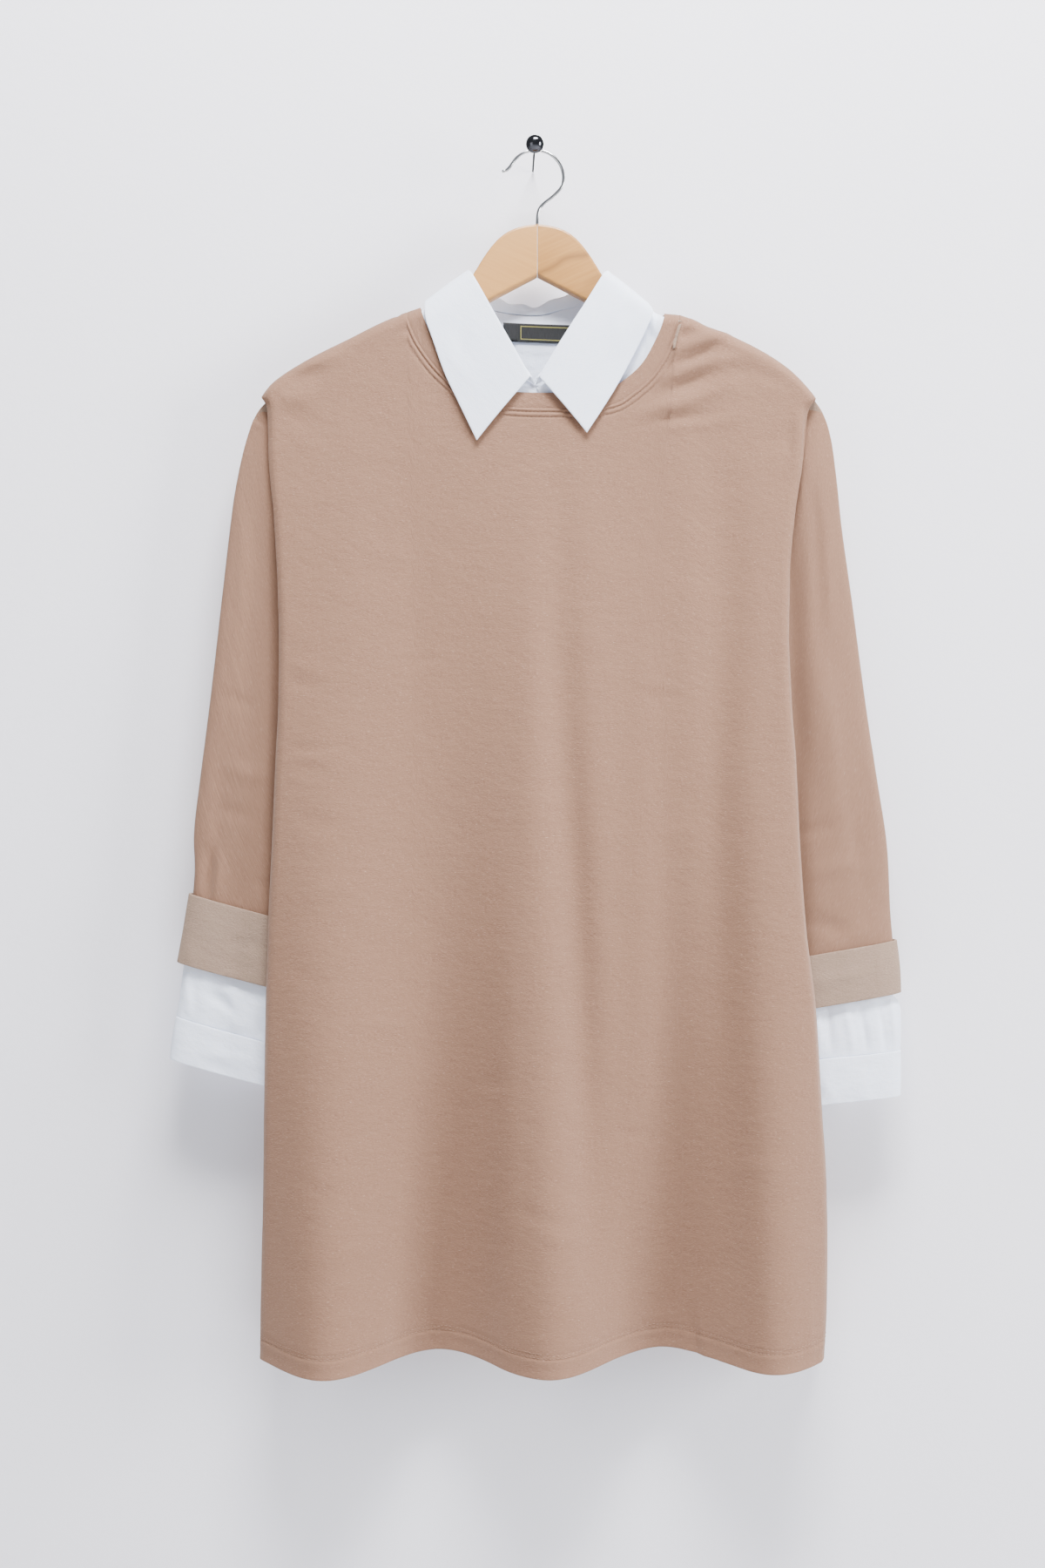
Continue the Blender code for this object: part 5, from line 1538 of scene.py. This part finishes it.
def make_sleeves(knit, reverse, white):
    """Both sleeves with their turned-up ends, and the pleated shirt sleeves and cuffs that show below."""
    sides = (
        (
            "left", -1, LEFT_TURNUP, LEFT_STUB, LEFT_CUFF,
            LEFT_SLEEVE_WRINKLES, LEFT_STUB_WRINKLES, LEFT_CUFF_WRINKLES,
        ),
        (
            "right", 1, RIGHT_TURNUP, RIGHT_STUB, RIGHT_CUFF,
            RIGHT_SLEEVE_WRINKLES, RIGHT_STUB_WRINKLES, RIGHT_CUFF_WRINKLES,
        ),
    )
    for side, sign, turnup, stub, cuff, wrinkles, stub_wrinkles, cuff_wrinkles in sides:
        flip = sign < 0
        hidden = SLEEVE_BACK_WRINKLES if sign > 0 else mirrored(SLEEVE_BACK_WRINKLES)
        points = creased_loop(np.array(sleeve_grid(sign, 120, 96)), wrinkles, hidden)
        cloth("sleeve_" + side, points, KNIT_WALL, "knit", knit, reverse, True, flip)
        folds = TURNUP_WRINKLES if sign > 0 else mirrored(TURNUP_WRINKLES)
        points = creased_loop(np.array(loop_grid(turnup, 18, 96)), folds, folds)
        cloth(
            "turnup_" + side, points, KNIT_WALL, "knit_reverse", reverse, knit, True, flip,
        )
        # The pleated sleeve's last row and the cuff's first run on a little, to close their seam.
        points = np.array(loop_grid(stub, 26, 18 * PLEATS, pleats=PLEAT_DEPTH * 0.7))
        points = creased_loop(points, stub_wrinkles, stub_wrinkles)
        points[-1] = points[-2] + (points[-1] - points[-2]) * CUFF_SEAM_REACH
        cloth("shirt_sleeve_" + side, points, SHIRT_WALL, "poplin", white, None, True, flip)
        points = np.array(loop_grid(cuff, 18, 96))
        points = creased_loop(points, cuff_wrinkles, cuff_wrinkles)
        points[0] = points[1] + (points[0] - points[1]) * CUFF_SEAM_REACH
        cloth("shirt_cuff_" + side, points, COLLAR_WALL, "poplin", white, None, True, flip)


def back_wave(points, rows_full, rows_fade):
    """Lets the collar rise and fall where it folds at the back of the neck."""
    for i in range(len(points)):
        hold = ease(1 - max(0, i - rows_full) / rows_fade)
        for j in range(points.shape[1]):
            x, y, _ = points[i, j]
            behind = ease((y + 29) / 8)
            points[i, j, 2] += hold * behind * smooth(BACK_WAVE, "x", "height", x)
    return points


def make_neckband(knit):
    """The band of knit inside the neckline; its first row dips into the seam with the panels."""
    ahead, behind = 150, 100
    points = np.array(neckband_grid(8, ahead, behind))
    around = [(-1, share) for share in close_to_ends(ahead)]
    around += [(1, share) for share in reversed(close_to_ends(behind)[1:-1])]
    points[0] = [near_neckline(*place, -SEAM_LAP, -SEAM_DIP) for place in around]
    cloth("neckband", points, KNIT_WALL, "knit", knit, knit, True)


def make_collar(white, crisp, tape, gold):
    """The shirt part in the neck: the collar's leaf and stand, the two fronts, the back, and its label."""
    points = back_wave(np.array(leaf_grid(200, 26)), 0, 9)
    out = outward(points, (0, -1, 0))
    points = points + out * wrinkle_rise(points, COLLAR_WRINKLES)[..., None]
    cloth("collar_leaf", points, COLLAR_WALL, "poplin", crisp, None)
    points = back_wave(np.array(stand_grid(200, 10)), 0, 8)
    cloth("collar_stand", points, COLLAR_WALL, "poplin", crisp)
    last = len(COLLAR) - 1
    left, right = LEFT_CREST / last, RIGHT_CREST / last
    shares = neck_shares(110)
    lap = SHIRT_WALL + SEAM_GAP
    under = [LAP_UNDER] + [share for share in reversed(shares) if share < LAP_UNDER - 0.004]
    over = [LAP_EDGE] + [share for share in shares if share > LAP_EDGE + 0.004]
    for name, feet, line, lapped, flip in (
        ("inset_front_left", (0.0, left), under, lap, False),
        ("inset_front_right", (1.0, right), over, 0.0, True),
    ):
        points = np.array(inset_grid(-1, feet, line, 12, lapped))
        rise = wrinkle_rise(points, INSET_WRINKLES)
        points += outward(points, (0, -1, 0)) * np.minimum(rise, INSET_RISE_MOST)[..., None]
        cloth(name, points, SHIRT_WALL, "poplin", white, None, flip=flip)
    points = np.array(inset_grid(1, (left, right), neck_shares(80), 14, low=half_moon))
    points[0] += (points[0] - points[1]) * INSET_BACK_REACH
    cloth("inset_back", points, SHIRT_WALL, "poplin", white)
    on_inset = INSET_LIFT - SHIRT_WALL - 2 * SEAM_GAP
    plate = np.array(patch_grid(1, LABEL_X, LABEL_TOP, LABEL_TALL, on_inset, 40, 12, LABEL_SLOPE))
    cloth("woven_label", plate, LABEL_WALL, "label", tape, None)
    on_label = on_inset - LABEL_WALL - SEAM_GAP
    tab = np.array(patch_grid(1, TAB_X, LABEL_TOP - 0.5, LABEL_TALL - 1.5, on_label, 10, 10, LABEL_SLOPE))
    cloth("size_tab", tab, LABEL_WALL, "label", tape, None)
    make_label_border(on_inset - LABEL_WALL, gold)


def make_label_border(lift, gold):
    """A plain thin frame woven into the label, right of its tab."""
    left, right, top, low, wide = -10.5, 29.5, LABEL_TOP - 2.2, LABEL_TOP - LABEL_TALL + 2.2, 0.6
    mesh = bmesh.new()
    bars = (
        (left, right, top, top - wide), (left, right, low + wide, low),
        (left, left + wide, top - wide, low + wide), (right - wide, right, top - wide, low + wide),
    )
    for x0, x1, z0, z1 in bars:
        steps = max(2, round((x1 - x0) / 2))
        rows = []
        for z in (z0, z1):
            row = []
            for i in range(steps + 1):
                x = lerp(x0, x1, i / steps)
                at = on_panel(1, x, z + LABEL_SLOPE * (x - LABEL_X[0]), lift - 0.12)
                row.append(mesh.verts.new([c * MM for c in at]))
            rows.append(row)
        for i in range(steps):
            mesh.faces.new((rows[0][i], rows[1][i], rows[1][i + 1], rows[0][i + 1]))
    data = bpy.data.meshes.new("label_border")
    mesh.to_mesh(data)
    mesh.free()
    piece = new_piece("label_border", data, "label", gold)
    wall = piece.modifiers.new("Wall", "SOLIDIFY")
    wall.thickness = 0.1 * MM
    wall.offset = 0


def deselect_all():
    for item in bpy.context.selected_objects:
        item.select_set(False)


def make_active(item):
    deselect_all()
    item.select_set(True)
    bpy.context.view_layer.objects.active = item


def arm_outline():
    """The right half of the hanger, as reach and height: its top edge drawn smoothly, then back below."""
    top = [(edge.reach, edge.height) for edge in HANGER_TOP]
    line = [along(top, i / 70) for i in range(71)]
    line[0] = (SEAM_GAP / 2, line[0][1])
    end_reach = top[-1][0]
    slope = math.tan(math.radians(HANGER_SLOPE))
    foot = (end_reach - 6, HANGER_UNDER - slope * (end_reach - 6))
    inner = (SEAM_GAP / 2, HANGER_UNDER - slope * SEAM_GAP / 2)
    return line + [(end_reach, foot[1] + 5), foot, inner]


def make_arm(side, sign, wood):
    """One half of the hanger: its outline as a flat disc, extruded to a board, its long edges rounded."""
    deselect_all()
    outline = arm_outline()
    upright = (math.pi / 2, 0, 0)
    bpy.ops.mesh.primitive_circle_add(
        vertices=len(outline), radius=ARM_DISC, fill_type="NGON", rotation=upright
    )
    arm = bpy.context.object
    bpy.ops.object.transform_apply(location=True, rotation=True, scale=True)
    front_y = (HANG_Y - HANGER_THICK / 2) * MM
    for vertex, (reach, height) in zip(arm.data.vertices, outline):
        vertex.co = ((HANGER_X + sign * reach) * MM, front_y, height * MM)
    bpy.ops.object.mode_set(mode="EDIT")
    bpy.ops.mesh.select_all(action="SELECT")
    bpy.ops.mesh.extrude_region_move(TRANSFORM_OT_translate={"value": (0, HANGER_THICK * MM, 0)})
    bpy.ops.mesh.select_all(action="SELECT")
    bpy.ops.mesh.normals_make_consistent(inside=False)
    bpy.ops.object.mode_set(mode="OBJECT")
    # The long edges of both flat sides are rounded, but not the glued joint in the middle.
    joint = (HANGER_X + sign * SEAM_GAP / 2) * MM
    weight = arm.data.attributes.new("bevel_weight_edge", "FLOAT", "EDGE")
    for edge in arm.data.edges:
        a, b = (arm.data.vertices[i].co for i in edge.vertices)
        in_joint = abs(a.x - joint) < 1e-5 and abs(b.x - joint) < 1e-5
        flat = abs(a.y - b.y) < 1e-6
        weight.data[edge.index].value = 0.12 if in_joint else (1.0 if flat else 0.0)
    rounding = arm.modifiers.new("Rounding", "BEVEL")
    rounding.limit_method = "WEIGHT"
    rounding.width = HANGER_EDGE * MM
    rounding.segments = 5
    make_active(arm)
    bpy.ops.object.modifier_apply(modifier="Rounding")
    bpy.ops.object.shade_smooth_by_angle(angle=math.radians(40))
    finish_hard(arm, "hanger_arm_" + side, wood)


def finish_hard(piece, name, material):
    """Gives a hard piece its name and material, and puts it in the place of its solid."""
    piece.name = name + "_look"
    piece.data.name = piece.name
    piece.data.materials.clear()
    piece.data.materials.append(material)
    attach(piece, "root")
    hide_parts(name)


def pin_top():
    """Height of the top of the pin's shank where the hook crosses it."""
    rise = PIN_TIP[2] / -PIN_TIP[1]
    return rise * -HANG_Y + PIN_SHANK / 2 / math.cos(math.atan(rise))


def hook_route():
    """The hook's middle line: up out of the hanger, round over the pin and down to its curled tip."""
    centre_x, centre_z = HOOK_X, pin_top() + SEAM_GAP + WIRE / 2 - HOOK_RADIUS
    stem = [
        (HANGER_X - 0.1, HANGER_TOP[0].height + SEAM_GAP),
        (HANGER_X, -50),
        (HANGER_X + 0.5, -45.5),
        (HANGER_X + 2, -41),
        (HANGER_X + 6, -36.6),
        (HANGER_X + 11.5, -32.4),
        (HANGER_X + 17, -27.3),
    ]
    arc = []
    for step in range(17):
        angle = math.radians(lerp(-16, 150, step / 16))
        arc.append((centre_x + HOOK_RADIUS * math.cos(angle), centre_z + HOOK_RADIUS * math.sin(angle)))
    tip_x, tip_z = arc[-1]
    curl = [(tip_x - 2.2, tip_z - 3.0), (tip_x - 4.6, tip_z - 5.2), (tip_x - 7.2, tip_z - 6.0)]
    return [(x, HANG_Y, z) for x, z in stem + arc + curl]


def start_disc(radius, sides):
    """A flat round disc at the origin, opened for modelling with all of it selected."""
    deselect_all()
    bpy.ops.mesh.primitive_circle_add(vertices=sides, radius=radius, fill_type="NGON")
    bpy.ops.object.mode_set(mode="EDIT")
    bpy.ops.mesh.select_all(action="SELECT")
    return bpy.context.object


def grow(place):
    """Extrudes the selected disc and puts each of its corners where place says."""
    bpy.ops.mesh.extrude_region_move()
    data = bpy.context.object.data
    mesh = bmesh.from_edit_mesh(data)
    for corner in mesh.verts:
        if corner.select:
            corner.co = place(corner.co)
    bmesh.update_edit_mesh(data)


def close_up():
    """Ends the modelling of a grown piece, with all of its faces turned outwards."""
    bpy.ops.mesh.select_all(action="SELECT")
    bpy.ops.mesh.normals_make_consistent(inside=False)
    bpy.ops.object.mode_set(mode="OBJECT")


def make_hook(chrome):
    """The hook: a disc the size of the wire, grown along its route, with the cut tip dressed round."""
    route = hook_route()
    line = [Vector(along(route, i / 120)) * MM for i in range(121)]
    hook = start_disc(WIRE / 2 * MM, 20)
    heading, centre = Vector((0, 0, 1)), Vector((0, 0, 0))
    for i, point in enumerate(line):
        ahead = (line[min(i + 1, len(line) - 1)] - line[max(i - 1, 0)]).normalized()
        turn = heading.rotation_difference(ahead).to_matrix()
        grow(lambda corner: turn @ (corner - centre) + point)
        heading, centre = ahead, point
    for step, width in ((0.5, 0.87), (0.35, 0.6), (0.13, 0.4)):
        point = centre + heading * step * WIRE / 2 * MM
        grow(lambda corner: (corner - centre) * width + point)
        centre = point
    # The disc that it grew from is still at the origin.
    data = bmesh.from_edit_mesh(hook.data)
    for corner in data.verts:
        corner.select = corner.index < 20
    bpy.ops.mesh.delete(type="VERT")
    bpy.ops.mesh.select_mode(type="EDGE")
    bpy.ops.mesh.select_all(action="DESELECT")
    bpy.ops.mesh.select_non_manifold(extend=False)
    bpy.ops.mesh.edge_face_add()
    close_up()
    bpy.ops.object.shade_smooth_by_angle(angle=math.radians(50))
    finish_hard(hook, "hanger_hook", chrome)


def make_pin(chrome):
    """The pin: a small disc at the wall, grown into its tapered shank and its ball."""
    length, ball = Vector(PIN_TIP).length, PIN_BALL / 2
    neck = math.asin(PIN_SHANK / 2 / ball)
    rings = [(0.4, PIN_SHANK * 0.36), (length - ball * 1.45, PIN_SHANK * 0.47)]
    rings += [(length - ball * 1.12, PIN_SHANK * 0.56)]
    for step in range(25):
        angle = lerp(math.pi - neck * 1.5, 0.06, step / 24)
        rings.append((length + ball * math.cos(angle), ball * math.sin(angle)))
    pin = start_disc(MM, 32)
    bpy.ops.transform.resize(value=(rings[0][1], rings[0][1], 1))
    bpy.ops.transform.translate(value=(0, 0, rings[0][0] * MM))
    wide = rings[0][1]
    for height, radius in rings[1:]:
        grow(lambda corner: Vector((corner.x * radius / wide, corner.y * radius / wide, height * MM)))
        wide = radius
    close_up()
    pin.rotation_mode = "QUATERNION"
    pin.rotation_quaternion = Vector(PIN_TIP).to_track_quat("Z", "Y")
    bpy.ops.object.transform_apply(location=True, rotation=True, scale=True)
    bpy.ops.object.shade_smooth_by_angle(angle=math.radians(50))
    finish_hard(pin, "wall_pin", chrome)


# ---- camera, light and stage ---------------------------------------------------------------------
CAMERA_PLACE = (-0.0089, -1.62, -0.52)  # metres
CAMERA_SENSOR = 36  # millimetres, its height and its width
CAMERA_LENS = 43.8
# Each lamp's place and the point that it is turned to, its width and height, in metres, and its watts.
Lamp = namedtuple("Lamp", "name place aim width height power")
LAMPS = (
    Lamp("ceiling", (0.2, -1.05, 1.7), (0.0, -0.05, -0.6), 1.2, 0.6, 215),
    Lamp("window", (2.5, -1.1, -0.2), (0.0, 0.0, -0.6), 0.8, 1.4, 125),
    Lamp("fill", (-2.2, -1.9, -0.7), (0.0, 0.0, -0.7), 1.6, 1.8, 20),
    Lamp("rear", (0.5, 2.4, 0.7), (0.0, 0.0, -0.5), 1.4, 1.4, 110),
)
SKY_STRENGTH = 0.45
WALL_SIZE = 7  # metres
WALL_PLACE = (0, 0.0008, 0.5)  # it faces the viewer, a hair behind the plane y = 0
FLOOR_SIZE = 12
FLOOR_PLACE = (0, 0, -1.75)


def make_camera():
    """The camera stands straight before the wall, level, at about the height of the garment's middle."""
    data = bpy.data.cameras.new("camera")
    camera = bpy.data.objects.new("camera", data)
    bpy.context.scene.collection.objects.link(camera)
    camera.location = CAMERA_PLACE
    camera.rotation_euler = (math.pi / 2, 0, 0)
    data.sensor_fit = "VERTICAL"
    data.sensor_height = CAMERA_SENSOR
    data.sensor_width = CAMERA_SENSOR
    data.lens = CAMERA_LENS
    data.clip_start = 0.01
    bpy.context.scene.camera = camera


def make_lamp(lamp):
    """A soft white rectangular lamp."""
    data = bpy.data.lights.new(lamp.name, "AREA")
    data.shape = "RECTANGLE"
    data.size = lamp.width
    data.size_y = lamp.height
    data.energy = lamp.power
    made = bpy.data.objects.new(lamp.name, data)
    bpy.context.scene.collection.objects.link(made)
    made.location = lamp.place
    made.rotation_euler = (Vector(lamp.aim) - Vector(lamp.place)).to_track_quat("-Z", "Y").to_euler()


def make_lights():
    """A pale sky all round, and the lamps: most of the light falls from above and from the right."""
    world = bpy.data.worlds.new("studio")
    bpy.context.scene.world = world
    world.use_nodes = True
    sky = world.node_tree.nodes["Background"]
    sky.inputs["Color"].default_value = tone("#eef1f6")
    sky.inputs["Strength"].default_value = SKY_STRENGTH
    for lamp in LAMPS:
        make_lamp(lamp)


def wall_paint():
    """Rolled emulsion paint on plaster: matt, with the roller's soft orange peel about 8 mm across. It is
    seen from the room only, and clear from behind."""
    material, tree, shader = new_material("Wall paint", 0.9)
    place = add(tree, "TexCoord").outputs["Object"]
    inputs = {"Vector": place, "Scale": 120.0, "Detail": 4.0, "Roughness": 0.6}
    roll = add(tree, "TexNoise", inputs).outputs[0]
    shader.inputs["Base Color"].default_value = tone("#ecebf3")
    emboss(tree, shader, 0.35, ((roll, 0.5),))
    side = add(tree, "NewGeometry").outputs["Backfacing"]
    clear = add(tree, "BsdfTransparent").outputs[0]
    one_sided = add(tree, "MixShader", {0: side, 1: shader.outputs[0], 2: clear}).outputs[0]
    tree.links.new(one_sided, tree.nodes["Material Output"].inputs["Surface"])
    return material


def floor_paint():
    """Painted screed: pale and matt, with wide worn patches about 0.1 m across."""
    material, tree, shader = new_material("Floor", 0.85)
    place = add(tree, "TexCoord").outputs["Object"]
    worn = add(tree, "TexNoise", {"Vector": place, "Scale": 9.0, "Detail": 3.0}).outputs[0]
    paint(tree, shader, "#e2e2e5", ((worn, 0.0, 1.0, "#e8e8ea"),))
    return material


def make_stage():
    """The wall behind the garment, which throws no light or shadow on it, and a pale floor."""
    deselect_all()
    upright = (math.pi / 2, 0, 0)
    bpy.ops.mesh.primitive_plane_add(size=WALL_SIZE, location=WALL_PLACE, rotation=upright)
    wall = bpy.context.object
    wall.name = "wall"
    wall.data.materials.append(wall_paint())
    wall.visible_shadow = False
    wall.visible_diffuse = False
    wall.visible_glossy = False
    deselect_all()
    bpy.ops.mesh.primitive_plane_add(size=FLOOR_SIZE, location=FLOOR_PLACE)
    floor = bpy.context.object
    floor.name = "floor"
    floor.data.materials.append(floor_paint())


def main():
    """Makes every piece."""
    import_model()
    make_camera()
    make_lights()
    make_stage()
    knit = fleece("Sweatshirt fleece", "#7b5b49", "#8b6a57", "#846451", "#9c806f", 0.35)
    reverse = fleece("Sweatshirt fleece, reverse", "#867060", "#947d6f", "#8d7767", "#9f8c7f", 0.5)
    white = poplin("Shirt poplin", 1.6)
    crisp = poplin("Shirt poplin, interlined", 0.5)
    tape = label_tape("Woven label tape", "#0e0f11", "#1b1c1f")
    gold = label_tape("Woven label tape, gold weft", "#8a8440", "#a49d55")
    sewn = thread("Sewing thread", "#84654f", "#9c7b66")
    chrome = plated_steel("Chromed steel", "#b9babd", "#d2d3d6")
    # The pin is chrome like the hook: its dark colours are a painted dark reflection of the room in front of
    # it.
    chrome_painted_dark_reflection = plated_steel("Chromed steel, painted dark reflection", "#3c3d42", "#5a5b61")
    lean = math.radians(24)
    left_wood = beech("Beech, left half", -lean, "#bc8a4e", "#b48248", "#a97741", 0.060)
    right_wood = beech("Beech, right half", lean, "#b18043", "#a47238", "#82582c", 0.016)
    front = make_panel(
        "front", -1, step=4.2, shoulder_steps=34, neck_steps=84, side_steps=14,
        wrinkles=FRONT_WRINKLES, knit=knit, reverse=reverse, flip=True,
    )
    back = make_panel(
        "back", 1, step=6.5, shoulder_steps=20, neck_steps=64, side_steps=12,
        wrinkles=BACK_WRINKLES, knit=knit, reverse=reverse, flip=False,
    )
    make_sleeves(knit, reverse, white)
    make_neckband(knit)
    make_collar(white, crisp, tape, gold)
    necks = ((-1, FRONT_WRINKLES), (1, BACK_WRINKLES))
    neck_rows = [neck_run(*neck, off, 240) for neck in necks for off in NECK_ROWS]
    stitches("neck_stitching", neck_rows, "knit", sewn)
    hem_rows = [hem_run(*panel, rise) for panel in (front, back) for rise in HEM_ROWS]
    stitches("hem_stitching", hem_rows, "knit", sewn)
    make_arm("left", -1, left_wood)
    make_arm("right", 1, right_wood)
    make_hook(chrome)
    make_pin(chrome_painted_dark_reflection)


main()
